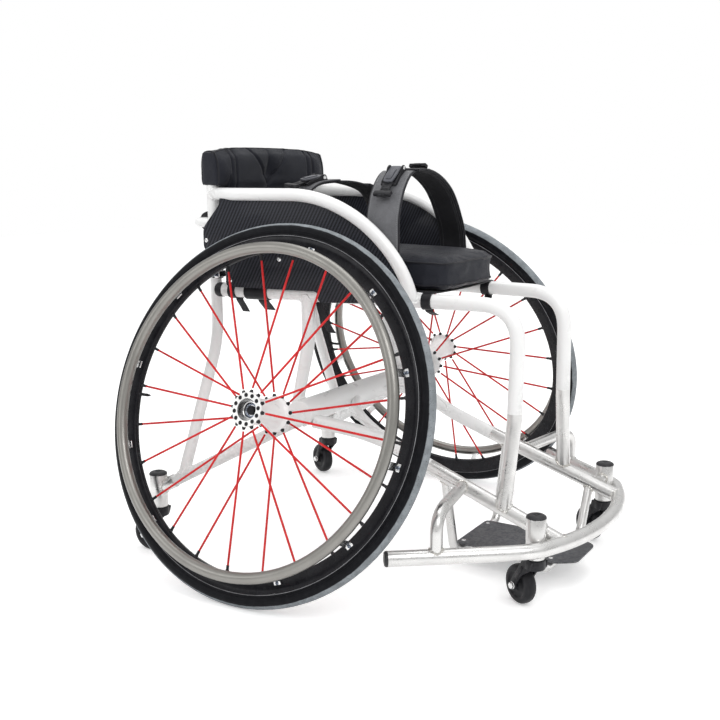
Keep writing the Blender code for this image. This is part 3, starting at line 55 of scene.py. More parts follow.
SIDES = (("right", -1), ("left", 1))
AXLE_Y = 0.0925
CAMBER = radians(17.7)
HUB_X, HUB_Z = 0.313, 0.305443
TYRE_CENTRE, TYRE_RADIUS = 0.3075, 0.0125
RIM_OUTER, RIM_INNER = 0.2955, 0.27
HANDRIM_RADIUS, HANDRIM_OFFSET = 0.2691, 0.0398
SPOKE_COUNT = 24
SLIM_RADIUS, MEMBER_RADIUS, RING_BRACE_RADIUS, SLEEVE_RADIUS = 0.008, 0.011, 0.01, 0.0125
BEAM_HEIGHT, BEAM_HALF_SIZE = 0.0235, (0.021, 0.026, 0.204)
BARREL_RADIUS, LUG_HEIGHT = 0.01625, 0.134
CASTER_RADIUS, FRONT_TRAIL, REAR_TRAIL = 0.033, 0.035, 0.026
SPOKE_PHASE = radians(11.6)
FLANGE_OFFSET, OUTER_FLANGE, INNER_FLANGE = 0.0384, 0.029, 0.031
RAIL_RADIUS, RAIL_Z = 0.0125, 0.482
RAIL_REAR_X, RAIL_REAR_Y, RAIL_FRONT_X = 0.16, 0.205, 0.1045
UPRIGHT_X, UPRIGHT_Y, PAINT_EDGE_Z = 0.112, -0.366, 0.306
BEAM_Z = 0.281
LOWER_START, LOWER_END = Vector((0.1299, -0.22, 0.1986)), Vector((0.1408, -0.47, 0.11))
MEMBER_START, MEMBER_CORNER = Vector((0.1882, -0.018, 0.2665)), Vector((0.1265, -0.112, 0.238))
UPRIGHT_FOOT = Vector((0.1395, -0.3625, 0.1475))
FRONT_CASTER, REAR_CASTER = Vector((0.171, -0.4323, 0)), Vector((0.2847, 0.2625, 0))
REAR_MEMBER_START, REAR_MEMBER_END = Vector((0.2062, 0.0145, 0.2615)), Vector((0.2847, 0.2625, 0.122))
REAR_POST_Y, REAR_POST_RADIUS = 0.215, 0.0105
RING_Z, RING_RADIUS = 0.112, 0.0125
RING_CORNER, RING_END = Vector((0.204, -0.443, RING_Z)), Vector((0.345, -0.26, RING_Z))
GUARD_OFFSET, GUARD_RADIUS, GUARD_TOP_Z = 0.0172, 0.011, 0.656
SLING_Z = RAIL_Z + RAIL_RADIUS + 0.0003
CUSHION_BOTTOM = SLING_Z + 0.0033
BAR_Y, BAR_Z = 0.258, 0.6035
STRAP_WIDTH = 0.045
HIP_LAP = ((-0.138, 0.056, 0.636), (-0.115, 0.045, 0.668), (-0.075, 0.03, 0.677), (-0.02, 0.012, 0.675),
           (0.05, 0.004, 0.655), (0.11, 0.02, 0.61))
THIGH_LAP = ((-0.12, -0.122, 0.622), (-0.095, -0.119, 0.668), (-0.06, -0.12, 0.694),
             (-0.005, -0.13, 0.692), (0.055, -0.134, 0.662), (0.102, -0.132, 0.612))
UPRIGHT_PLATE = Matrix(((0, 0, 1, 0), (1, 0, 0, 0), (0, 1, 0, 0), (0, 0, 0, 1)))


class ChairSizes(bpy.types.PropertyGroup):
    """Sizes that a user would change."""
    spoke_radius: FloatProperty(name="Spoke radius", description="Half the thickness of a spoke",
                                default=0.0019, unit="LENGTH")
    handrim_tube: FloatProperty(name="Handrim tube", description="Radius of the handrim's tube",
                                default=0.0095, unit="LENGTH")
    weld_bead: FloatProperty(name="Weld bead", description="Radius of a weld bead", default=0.0022,
                             unit="LENGTH")
    piping: FloatProperty(name="Piping", description="Radius of the sewn piping", default=0.0017,
                          unit="LENGTH")
    stitch: FloatProperty(name="Stitch", description="Length from one stitch to the next", default=0.0036,
                          unit="LENGTH")
    thread: FloatProperty(name="Thread", description="Spacing of the webbing's threads", default=0.0016,
                          unit="LENGTH")
    tow: FloatProperty(name="Carbon tow", description="Width of one carbon tow", default=0.0021,
                       unit="LENGTH")
    swell: FloatProperty(name="Pressure", description="Pressure that fills the pads", default=4.0)
    facets: IntProperty(name="Wheel facets", description="Steps round a drive wheel", default=144)


class ChairColours(bpy.types.PropertyGroup):
    """Colours that a user would change."""
    paint: FloatVectorProperty(name="Paint", description="Painted frame", subtype="COLOR",
                               default=(0.88, 0.88, 0.875), min=0, max=1)
    aluminium: FloatVectorProperty(name="Aluminium", description="Bare frame tubes", subtype="COLOR",
                                   default=(0.66, 0.655, 0.645), min=0, max=1)
    spokes: FloatVectorProperty(name="Spokes", description="Spoke fibre", subtype="COLOR",
                                default=(0.66, 0.016, 0.018), min=0, max=1)
    fabric: FloatVectorProperty(name="Fabric", description="Cushion and backrest cover", subtype="COLOR",
                                default=(0.0085, 0.0095, 0.0145), min=0, max=1)
    carbon: FloatVectorProperty(name="Carbon", description="Side guards", subtype="COLOR",
                                default=(0.0035, 0.0038, 0.0055), min=0, max=1)
    tread: FloatVectorProperty(name="Tread", description="Worn tread of the tyres", subtype="COLOR",
                               default=(0.29, 0.315, 0.335), min=0, max=1)
    handrim: FloatVectorProperty(name="Handrim", description="Handrim metal", subtype="COLOR",
                                 default=(0.27, 0.263, 0.246), min=0, max=1)
    footplate: FloatVectorProperty(name="Footplate", description="Grip coating", subtype="COLOR",
                                   default=(0.055, 0.057, 0.064), min=0, max=1)


def sizes():
    """The sizes as they are set."""
    return bpy.context.scene.chair_sizes


def colour(name):
    """One of the set colours, with full alpha."""
    return (*getattr(bpy.context.scene.chair_colours, name), 1)


# Places and paths

def from_axle(point):
    """A place given from the axle line, moved to the chair's own origin."""
    return Vector((point[0], point[1] + AXLE_Y, point[2]))


def on_side(points, side):
    """A path of the left side, or its mirror image on the right."""
    return [Vector((side * point[0], point[1], point[2])) for point in points]


def rail_x(y):
    """How far the seat rail's centre is from the middle."""
    return RAIL_REAR_X - (RAIL_REAR_Y - y) * (RAIL_REAR_X - RAIL_FRONT_X) / (RAIL_REAR_Y - UPRIGHT_Y)


def beside_rail(y, z, offset=GUARD_OFFSET):
    """A point of the plane that runs beside the tapering seat rail."""
    return Vector((rail_x(y) + offset, y, z))


def rounded(points, bend, steps=12):
    """A path whose inner corners are smooth bends that start this far from them."""
    points = [Vector(point) for point in points]
    path = [points[0]]
    for before, corner, after in zip(points, points[1:], points[2:]):
        start = corner + (before - corner).normalized() * min(bend, (before - corner).length * 0.48)
        end = corner + (after - corner).normalized() * min(bend, (after - corner).length * 0.48)
        for step in range(steps + 1):
            part = step / steps
            path.append(start * (1 - part) ** 2 + corner * 2 * part * (1 - part) + end * part ** 2)
    path.append(points[-1])
    return path


def smooth_path(points, steps):
    """A smooth path through given points."""
    points = [Vector(point) for point in points]
    path = []
    last = len(points) - 1
    for index in range(last):
        before, after = points[max(index - 1, 0)], points[min(index + 2, last)]
        start, end = points[index], points[index + 1]
        piece = interpolate_bezier(start, start + (end - before) / 6, end - (after - start) / 6, end, steps + 1)
        path.extend(piece if index == last - 1 else piece[:-1])
    return path


def wheel_axis(side):
    """The placing of one wheel: local Z outward along the axle, local X down to the floor."""
    outward = Vector((side * cos(CAMBER), 0, sin(CAMBER)))
    down = Vector((side * sin(CAMBER), 0, -cos(CAMBER)))
    matrix = Matrix((down, outward.cross(down), outward)).transposed().to_4x4()
    matrix.translation = from_axle((side * HUB_X, 0, HUB_Z))
    return matrix


def aim(origin, direction, across=(0, 0, 1)):
    """A placing with local Z along a direction."""
    z = Vector(direction).normalized()
    x = Vector(across).cross(z)
    if x.length < 0.01:
        x = Vector((1, 0, 0)).cross(z)
    x.normalize()
    matrix = Matrix((x, z.cross(x), z)).transposed().to_4x4()
    matrix.translation = origin
    return matrix


rail_path = rounded([(RAIL_REAR_X, RAIL_REAR_Y, RAIL_Z), (RAIL_FRONT_X, UPRIGHT_Y, RAIL_Z),
                     (UPRIGHT_X, UPRIGHT_Y, PAINT_EDGE_Z)], 0.068)
member_path = rounded([MEMBER_START, MEMBER_CORNER, LOWER_START], 0.09)
post_landing = REAR_MEMBER_START.lerp(REAR_MEMBER_END, (REAR_POST_Y - REAR_MEMBER_START.y)
                                      / (REAR_MEMBER_END.y - REAR_MEMBER_START.y))
rear_post_path = rounded([(0.161, REAR_POST_Y, 0.712), (0.158, REAR_POST_Y, 0.39), post_landing], 0.04)
middle_post_path = rounded([(rail_x(0.02), 0.02, RAIL_Z - 0.002), (0.1415, 0.02, 0.4), (0.184, 0.02, BEAM_Z)],
                           0.03)
brace_path = rounded([(0.03, -0.01, 0.281), (0.112, -0.058, 0.272), (0.1262, -0.14, 0.2277)], 0.07)


def guard_points():
    """The guard tube, from the rear post along the top and down to the seat rail."""
    handles = (beside_rail(0.04, GUARD_TOP_Z), beside_rail(-0.065, GUARD_TOP_Z),
               beside_rail(-0.166, RAIL_Z + 0.093), beside_rail(-0.184, RAIL_Z, 0.0095))
    straight = [Vector((0.161, REAR_POST_Y, GUARD_TOP_Z)), beside_rail(REAR_POST_Y - 0.06, GUARD_TOP_Z)]
    return straight + interpolate_bezier(*handles, 26)


def ring_points():
    """The bumper ring: a gentle front bow, two bends and two straight arms."""
    bow = []
    for step in range(-10, 11):
        x = 0.165 * step / 10
        bow.append(Vector((x, -0.494 + 0.42 - sqrt(0.42 ** 2 - x ** 2), RING_Z)))
    left = rounded([bow[-2], bow[-1], RING_CORNER, RING_END], 0.06)[14:]
    return on_side(reversed(left), -1) + bow[1:-1] + left


guard_path = guard_points()


# Modelling as by hand, with Blender's own operators

def moved(x, y, z):
    """The placing that moves a piece by these lengths."""
    return Matrix.Translation((x, y, z))


def spun(angle, axis):
    """The placing that turns a piece about one axis."""
    return Matrix.Rotation(angle, 4, axis)


def only(*items):
    """Select these objects alone."""
    bpy.ops.object.select_all(action="DESELECT")
    for item in items:
        item.select_set(True)
    if items:
        bpy.context.view_layer.objects.active = items[0]


def edit_all():
    """Go to edit mode with the whole mesh selected."""
    bpy.ops.object.mode_set(mode="EDIT")
    bpy.ops.mesh.select_all(action="SELECT")


def named(name):
    """Name the object that an operator has just added."""
    item = bpy.context.object
    item.name = item.data.name = name
    return item


def settle(item, place=None, angle=35):
    """Put a piece in its place, with the place in its mesh, and smooth its round faces."""
    only(item)
    if place is not None:
        item.matrix_world = place
    bpy.ops.object.transform_apply(location=True, rotation=True, scale=True)
    bpy.ops.object.shade_smooth_by_angle(angle=radians(angle))
    return item


def modify(item, kind, **settings):
    """Add one modifier and apply it."""
    only(item)
    change = item.modifiers.new(kind.lower(), kind)
    for key, value in settings.items():
        setattr(change, key, value)
    bpy.ops.object.modifier_apply(modifier=change.name)
    return item


def outward(item):
    """Merge doubles and turn all faces outwards."""
    only(item)
    edit_all()
    bpy.ops.mesh.remove_doubles(threshold=0.00001)
    bpy.ops.mesh.normals_make_consistent(inside=False)
    bpy.ops.object.mode_set(mode="OBJECT")
    return item


def joined(name, items):
    """Join pieces to one object."""
    only(*items)
    if len(items) > 1:
        bpy.ops.object.join()
    return named(name)


def tube(name, points, radius, sides=24, radii=None, loop=False):
    """A round tube along a path: a curve with a round bevel, made a mesh."""
    only()
    bpy.ops.curve.primitive_bezier_curve_add()
    item = named(name)
    curve = item.data
    curve.splines.clear()
    spline = curve.splines.new("POLY")
    spline.points.add(len(points) - 1)
    for index, point in enumerate(points):
        spline.points[index].co = (*point, 1)
        spline.points[index].radius = radii[index] if radii else 1
    spline.use_cyclic_u = loop
    curve.bevel_depth = radius
    curve.bevel_resolution = (sides - 4) // 2
    curve.use_fill_caps = not loop
    bpy.ops.object.convert(target="MESH")
    item = outward(bpy.context.object)
    return settle(item)


def frame_tube(name, points, radius, side=1, sides=28, radii=None):
    """A frame tube along places given from the axle line."""
    return tube(name, [from_axle(point) for point in on_side(points, side)], radius, sides, radii)


def turned(name, profile, steps, place=None, closed=True):
    """A body spun about local Z from (radius, height) points."""
    only()
    bpy.ops.mesh.primitive_plane_add(size=0.01)
    item = named(name)
    edit_all()
    bpy.ops.mesh.merge(type="CENTER")
    bpy.ops.transform.translate(value=(profile[0][0], 0, profile[0][1]))
    after = list(profile[1:]) + ([profile[0]] if closed else [])
    for start, end in zip(profile, after):
        bpy.ops.mesh.extrude_region_move(
            TRANSFORM_OT_translate={"value": (end[0] - start[0], 0, end[1] - start[1])})
    bpy.ops.mesh.select_all(action="SELECT")
    bpy.ops.mesh.spin(steps=steps, angle=2 * pi, center=(0, 0, 0), axis=(0, 0, 1))
    bpy.ops.object.mode_set(mode="OBJECT")
    outward(item)
    return settle(item, place)


def plate(name, outline, thick, place, edge=0.0006):
    """A flat plate: a filled outline, extruded, with bevelled edges."""
    only()
    bpy.ops.mesh.primitive_circle_add(vertices=len(outline), radius=1, fill_type="NGON")
    item = named(name)
    for vert, point in zip(item.data.vertices, outline):
        vert.co = (point[0], point[1], -thick / 2)
    edit_all()
    bpy.ops.mesh.extrude_region_move(TRANSFORM_OT_translate={"value": (0, 0, thick)})
    bpy.ops.object.mode_set(mode="OBJECT")
    outward(item)
    modify(item, "BEVEL", width=edge, segments=2, limit_method="ANGLE", angle_limit=radians(50))
    return settle(item, place)


def block(name, size, place, edge=0.0008, segments=3):
    """A block with rounded edges."""
    only()
    bpy.ops.mesh.primitive_cube_add(size=1)
    item = named(name)
    item.scale = size
    bpy.ops.object.transform_apply(scale=True)
    edit_all()
    bpy.ops.mesh.bevel(offset=edge, segments=segments, affect="EDGES")
    bpy.ops.object.mode_set(mode="OBJECT")
    return settle(item, place)


def copies(name, item, places):
    """Copies of one piece, each with its own mesh, joined to one object."""
    made = []
    for place in places:
        copy = bpy.data.objects.new(name, item.data.copy())
        bpy.context.collection.objects.link(copy)
        copy.data.transform(place)
        made.append(copy)
    bpy.data.objects.remove(item, do_unlink=True)
    return joined(name, made)


def round_places(count, place, phase=0.0):
    """Placings spaced evenly about a wheel's axle."""
    return [place @ spun(phase + 2 * pi * index / count, "Z") for index in range(count)]


def section_uv(item, place, ring_radius, height=0.0):
    """Lay a UV map on a ring: metres round the axle, and the angle round its section."""
    inverse = place.inverted()
    mesh = item.data
    layer = mesh.uv_layers.get("UVMap") or mesh.uv_layers.new(name="UVMap")

    def angles(point):
        local = inverse @ point
        return Vector((atan2(local.y, local.x),
                       atan2(local.z - height, hypot(local.x, local.y) - ring_radius)))

    for polygon in mesh.polygons:
        middle = angles(polygon.center)
        for loop in polygon.loop_indices:
            here = angles(mesh.vertices[mesh.loops[loop].vertex_index].co)
            for axis in (0, 1):
                here[axis] -= round((here[axis] - middle[axis]) / (2 * pi)) * 2 * pi
            layer.data[loop].uv = (here[0] * ring_radius, here[1])
    return item


def ribbon(name, path, across, thick, steps_across=6, crown=0.0):
    """A flat band along a path: a grid laid on it, given its thickness, with a UV map in metres."""
    lengths = [0.0]
    for start, end in zip(path, path[1:]):
        lengths.append(lengths[-1] + (end - start).length)
    only()
    bpy.ops.mesh.primitive_grid_add(x_subdivisions=len(path) - 1, y_subdivisions=steps_across, size=2)
    item = named(name)
    mesh = item.data
    layer = mesh.uv_layers.get("UVMap") or mesh.uv_layers.new(name="UVMap")
    flat = [(round((vert.co.x + 1) / 2 * (len(path) - 1)), vert.co.y) for vert in mesh.vertices]
    for polygon in mesh.polygons:
        for loop in polygon.loop_indices:
            index, share = flat[mesh.loops[loop].vertex_index]
            layer.data[loop].uv = (lengths[index], share * across(path[index]).length / 2)
    for vert, (index, share) in zip(mesh.vertices, flat):
        point = path[index]
        ahead = path[min(index + 1, len(path) - 1)] - path[max(index - 1, 0)]
        side = across(point)
        up = ahead.cross(side).normalized()
        vert.co = point + side * share / 2 + up * crown * (1 - share ** 2)
    modify(item, "SOLIDIFY", thickness=thick, offset=0)
    outward(item)
    modify(item, "BEVEL", width=thick * 0.3, segments=2, limit_method="ANGLE", angle_limit=radians(60))
    return settle(item, None, 50)


def weld_bead(name, start, along, radius, host, host_axis, host_radius, bead=None):
    """A rippled bead where one round tube lands on another."""
    along, axis = Vector(along).normalized(), Vector(host_axis).normalized()
    first = along.orthogonal().normalized()
    second = along.cross(first)
    loop, radii = [], []
    count = 56
    for step in range(count):
        angle = 2 * pi * step / count
        point = Vector(start) + (first * cos(angle) + second * sin(angle)) * radius
        gap = point - Vector(host)
        gap -= axis * gap.dot(axis)
        run = along - axis * along.dot(axis)
        a, b, c = run.dot(run), 2 * gap.dot(run), gap.dot(gap) - host_radius ** 2
        root = max(b * b - 4 * a * c, 0)
        loop.append(from_axle(point + along * ((-b + sqrt(root)) / (2 * a))))
        radii.append(1 + 0.22 * sin(angle * 17) + 0.1 * sin(angle * 5 + 1))
    return tube(name, loop, bead or sizes().weld_bead, 8, radii, True)


def mirrored(side, vector):
    """The vector on the side of the chair that is asked for."""
    return Vector((side * vector[0], vector[1], vector[2]))


def weld(beads, side, start, along, radius, host, axis, host_radius):
    """Add the bead where a tube ends on its host tube, on one side of the chair."""
    beads.append(weld_bead("bead", mirrored(side, start), mirrored(side, along), radius, mirrored(side, host),
                           mirrored(side, axis), host_radius))


def swelled(item, voxel, cap, limits):
    """Fill a pad: remesh it, let cloth swell under pressure, cap the movement, and smooth it."""
    modify(item, "REMESH", mode="VOXEL", voxel_size=voxel)
    rest = [vert.co.copy() for vert in item.data.vertices]
    only(item)
    cloth = item.modifiers.new("fill", "CLOTH")
    cloth.settings.quality = 5
    cloth.settings.use_pressure = True
    cloth.settings.uniform_pressure_force = sizes().swell
    cloth.settings.effector_weights.gravity = 0
    cloth.collision_settings.use_collision = False
    cloth.point_cache.frame_end = 20
    for step in range(1, 21):
        bpy.context.scene.frame_set(step)
    bpy.ops.object.modifier_apply(modifier=cloth.name)
    bpy.context.scene.frame_set(1)
    for vert, start in zip(item.data.vertices, rest):
        move = vert.co - start
        if move.length > cap:
            vert.co = start + move * (cap / move.length)
        vert.co = limits(vert.co, start)
    modify(item, "SUBSURF", levels=1, render_levels=1)
    return item


def on_surface(item, points, lift=0.0):
    """The points moved onto a pad's surface."""
    found = []
    for point in points:
        hit, place, normal, _face = item.closest_point_on_mesh(point)
        if hit:
            found.append(place + normal * lift)
    return found


# Shared effects

def add(tree, kind, values=(), **settings):
    """Add a shader node with its settings, and its constant or linked inputs."""
    node = tree.nodes.new("ShaderNode" + kind)
    for key, value in settings.items():
        setattr(node, key, value)
    for key, value in dict(values).items():
        if isinstance(value, bpy.types.NodeSocket):
            tree.links.new(value, node.inputs[key])
        else:
            node.inputs[key].default_value = value
    return node


def calc(tree, operation, *terms):
    """The output of a Math node."""
    return add(tree, "Math", enumerate(terms), operation=operation).outputs[0]


def product(tree, *values):
    """Values multiplied."""
    return calc(tree, "MULTIPLY", *values)


def mixed(tree, mask, first, second):
    """One colour over another by a mask."""
    return add(tree, "Mix", {0: mask, 6: first, 7: second}, data_type="RGBA").outputs[2]


def spread(tree, value, low, high, to_low=0.0, to_high=1.0):
    """A value's range stretched to another, and held within it."""
    return add(tree, "MapRange", {0: value, 1: low, 2: high, 3: to_low, 4: to_high}).outputs[0]


def grain_at(tree, vector, scale, detail=3.0):
    """Noise of one scale."""
    return add(tree, "TexNoise", {"Vector": vector, "Scale": scale, "Detail": detail}).outputs[0]


def effect(name, inputs, outputs, fill):
    """A shared effect, built once as a node group with named sockets."""
    tree = bpy.data.node_groups.get(name)
    if tree is None:
        tree = bpy.data.node_groups.new(name, "ShaderNodeTree")
        for label, kind, value in inputs:
            socket = tree.interface.new_socket(name=label, in_out="INPUT", socket_type="NodeSocket" + kind)
            if value is not None:
                socket.default_value = value
        for label, kind in outputs:
            tree.interface.new_socket(name=label, in_out="OUTPUT", socket_type="NodeSocket" + kind)
        result = fill(tree, tree.nodes.new("NodeGroupInput").outputs)
        end = tree.nodes.new("NodeGroupOutput")
        for label, socket in result.items():
            tree.links.new(socket, end.inputs[label])
    return tree


def colour_drift():
    """A colour that drifts towards another in soft patches."""
    def fill(tree, given):
        patches = spread(tree, grain_at(tree, given["Vector"], given["Scale"]), 0.35, 0.65)
        amount = product(tree, patches, given["Amount"])
        return {"Color": mixed(tree, amount, given["Base"], given["Tint"]), "Mask": patches}
    return effect("colour_drift", (("Vector", "Vector", None), ("Base", "Color", None), ("Tint", "Color", None),
                                   ("Scale", "Float", 20.0), ("Amount", "Float", 0.5)),
                  (("Color", "Color"), ("Mask", "Float")), fill)


def edge_wear():
    """A mask of worn, sharp edges."""
    def fill(tree, given):
        edge = spread(tree, add(tree, "NewGeometry").outputs["Pointiness"], given["From"], 0.62)
        broken = spread(tree, grain_at(tree, given["Vector"], 160.0, 5.0), 0.38, 0.6)
        return {"Mask": product(tree, edge, broken)}
    return effect("edge_wear", (("Vector", "Vector", None), ("From", "Float", 0.53)), (("Mask", "Float"),), fill)


def drawn_grain():
    """Fine grain drawn out along one direction, as on brushed or drawn tube."""
    def fill(tree, given):
        vector = add(tree, "VectorMath", {0: given["Vector"], 1: given["Stretch"]}, operation="MULTIPLY").outputs[0]
        return {"Height": grain_at(tree, vector, 1.0, 4.0)}
    return effect("drawn_grain", (("Vector", "Vector", None), ("Stretch", "Vector", (900, 60, 900))),
                  (("Height", "Float"),), fill)


def cells(tree, vector, pitch):
    """Whole and part cells along the two axes of a vector."""
    split = add(tree, "SeparateXYZ", {0: vector})
    parts = [calc(tree, "DIVIDE", split.outputs[axis], pitch) for axis in (0, 1)]
    return [(calc(tree, "FLOOR", part), calc(tree, "FRACT", part)) for part in parts]


def plain_weave():
    """Over and under threads, from coordinates in metres."""
    def fill(tree, given):
        (cell_x, part_x), (cell_y, part_y) = cells(tree, given["Vector"], given["Pitch"])
        over = calc(tree, "PINGPONG", calc(tree, "ADD", cell_x, cell_y), 1.0)
        thread_x = calc(tree, "SINE", product(tree, part_x, pi))
        thread_y = calc(tree, "SINE", product(tree, part_y, pi))
        height = add(tree, "Mix", {0: over, 2: thread_x, 3: thread_y}).outputs[0]
        return {"Height": height, "Over": over}
    return effect("plain_weave", (("Vector", "Vector", None), ("Pitch", "Float", 0.001)),
                  (("Height", "Float"), ("Over", "Float")), fill)


def twill_weave():
    """Two-by-two twill: which tow lies on top, and its rounded height."""
    def fill(tree, given):
        (cell_x, part_x), (cell_y, part_y) = cells(tree, given["Vector"], given["Tow"])
        turn = calc(tree, "FLOORED_MODULO", calc(tree, "ADD", cell_x, cell_y), 4.0)
        over = calc(tree, "LESS_THAN", turn, 1.5)
        tow_x = calc(tree, "SINE", product(tree, part_x, pi))
        tow_y = calc(tree, "SINE", product(tree, part_y, pi))
        height = add(tree, "Mix", {0: over, 2: tow_y, 3: tow_x}).outputs[0]
        return {"Over": over, "Height": height}
    return effect("twill_weave", (("Vector", "Vector", None), ("Tow", "Float", 0.002)),
                  (("Over", "Float"), ("Height", "Float")), fill)


def stitch_row():
    """A mask of the stitches of two rows, from band coordinates in metres."""
    def fill(tree, given):
        split = add(tree, "SeparateXYZ", {0: given["Vector"]})
        off = calc(tree, "SUBTRACT", calc(tree, "ABSOLUTE", split.outputs[1]), given["Row"])
        near = calc(tree, "LESS_THAN", calc(tree, "ABSOLUTE", off), 0.0005)
        part = calc(tree, "FRACT", calc(tree, "DIVIDE", split.outputs[0], given["Pitch"]))
        return {"Mask": product(tree, near, calc(tree, "LESS_THAN", part, 0.68))}
    return effect("stitch_row", (("Vector", "Vector", None), ("Row", "Float", 0.018), ("Pitch", "Float", 0.0036)),
                  (("Mask", "Float"),), fill)


def place_effect(tree, group, **values):
    """Place a shared effect in a material."""
    node = tree.nodes.new("ShaderNodeGroup")
    node.node_tree = group
    for key, value in values.items():
        socket = node.inputs[key.replace("_", " ")]
        if isinstance(value, bpy.types.NodeSocket):
            tree.links.new(value, socket)
        else:
            socket.default_value = value
    return node.outputs


def surface(name, **constants):
    """A new material, its shader's plain values set on the shader's own sockets."""
    material = bpy.data.materials.new(name)
    material.use_nodes = True
    tree = material.node_tree
    shader = tree.nodes["Principled BSDF"]
    for key, value in constants.items():
        shader.inputs[key.replace("_", " ")].default_value = value
    return material, tree, shader.inputs


def link(tree, source, target):
    """Link two sockets."""
    tree.links.new(source, target)


def bump(tree, height, distance, strength=1.0, under=None):
    """A Bump node's normal."""
    values = {"Height": height, "Distance": distance, "Strength": strength}
    if under is not None:
        values["Normal"] = under
    return add(tree, "Bump", values).outputs[0]


def object_places(tree):
    """Object coordinates."""
    return add(tree, "TexCoord").outputs["Object"]


def band_places(tree):
    """The piece's own UV map."""
    return add(tree, "UVMap", uv_map="UVMap").outputs[0]


# Finishes

def drifted(tree, places, base, tint, scale, amount):
    """The colour drift of a finish, from its base colour towards a tint."""
    return place_effect(tree, colour_drift(), Vector=places, Base=base, Tint=tint, Scale=scale, Amount=amount)


def paint_finish(name):
    """White powder coat with a faint orange peel and scuffed edges."""
    material, tree, shader = surface(name, **{"Coat_Weight": 0.35, "Coat_Roughness": 0.12})
    places = object_places(tree)
    drift = drifted(tree, places, colour("paint"), (0.82, 0.82, 0.815, 1), 9.0, 0.35)
    wear = place_effect(tree, edge_wear(), Vector=places, From=0.57)["Mask"]
    link(tree, mixed(tree, product(tree, wear, 0.35), drift["Color"], (0.5, 0.5, 0.49, 1)),
         shader["Base Color"])
    link(tree, spread(tree, grain_at(tree, places, 40.0), 0.3, 0.7, 0.26, 0.42), shader["Roughness"])
    link(tree, bump(tree, grain_at(tree, places, 700.0, 2.0), 0.00012, 0.35), shader["Normal"])
    return material


def aluminium_finish(name, base, low, high, stretch=(500, 90, 500), heat=0.0):
    """Bare metal with drawn grain, handling marks and patchy gloss."""
    material, tree, shader = surface(name, Metallic=1.0)
    places = object_places(tree)
    grain = place_effect(tree, drawn_grain(), Vector=places, Stretch=stretch)["Height"]
    darker = tuple(part * 0.8 for part in base[:3])
    drift = drifted(tree, places, base, (*darker, 1), 22.0, 0.55)
    paler = tuple(min(part * 1.22, 0.9) for part in base[:3])
    tone = mixed(tree, spread(tree, grain, 0.3, 0.75, 0.0, 0.35), drift["Color"], (*paler, 1))
    if heat:
        tone = mixed(tree, product(tree, drift["Mask"], heat), tone, (0.6, 0.55, 0.47, 1))
    link(tree, tone, shader["Base Color"])
    patches = spread(tree, grain_at(tree, places, 35.0, 5.0), 0.35, 0.68, low, high)
    link(tree, calc(tree, "ADD", patches, spread(tree, grain, 0.3, 0.7, -0.05, 0.07)), shader["Roughness"])
    link(tree, bump(tree, grain, 0.0001, 0.35), shader["Normal"])
    return material


def plastic_finish(name, base, gloss, pebble=0.0002, scale=900.0):
    """Moulded plastic or foam: fine pebble, pale scuffs on the edges and dust in patches."""
    material, tree, shader = surface(name, **{"Specular_IOR_Level": 0.16})
    places = object_places(tree)
    paler = tuple(min(part * 3 + 0.02, 1) for part in base[:3])
    drift = drifted(tree, places, base, (*paler, 1), 45.0, 0.22)
    wear = place_effect(tree, edge_wear(), Vector=places, From=0.54)["Mask"]
    link(tree, mixed(tree, product(tree, wear, 0.5), drift["Color"], (0.09, 0.09, 0.095, 1)),
         shader["Base Color"])
    link(tree, spread(tree, grain_at(tree, places, 60.0), 0.3, 0.7, gloss - 0.07, gloss + 0.1),
         shader["Roughness"])
    link(tree, bump(tree, grain_at(tree, places, scale, 3.0), pebble, 0.5), shader["Normal"])
    return material


def spoke_finish(name):
    """Red fibre spokes: a slightly glossy jacket with lengthwise streaks."""
    material, tree, shader = surface(name, **{"Specular_IOR_Level": 0.3})
    places = object_places(tree)
    darker = tuple(part * 0.6 for part in colour("spokes")[:3])
    drift = drifted(tree, places, colour("spokes"), (*darker, 1), 60.0, 0.5)
    link(tree, drift["Color"], shader["Base Color"])
    link(tree, spread(tree, drift["Mask"], 0, 1, 0.35, 0.5), shader["Roughness"])
    link(tree, bump(tree, grain_at(tree, places, 1500.0), 0.0001, 0.4), shader["Normal"])
    return material


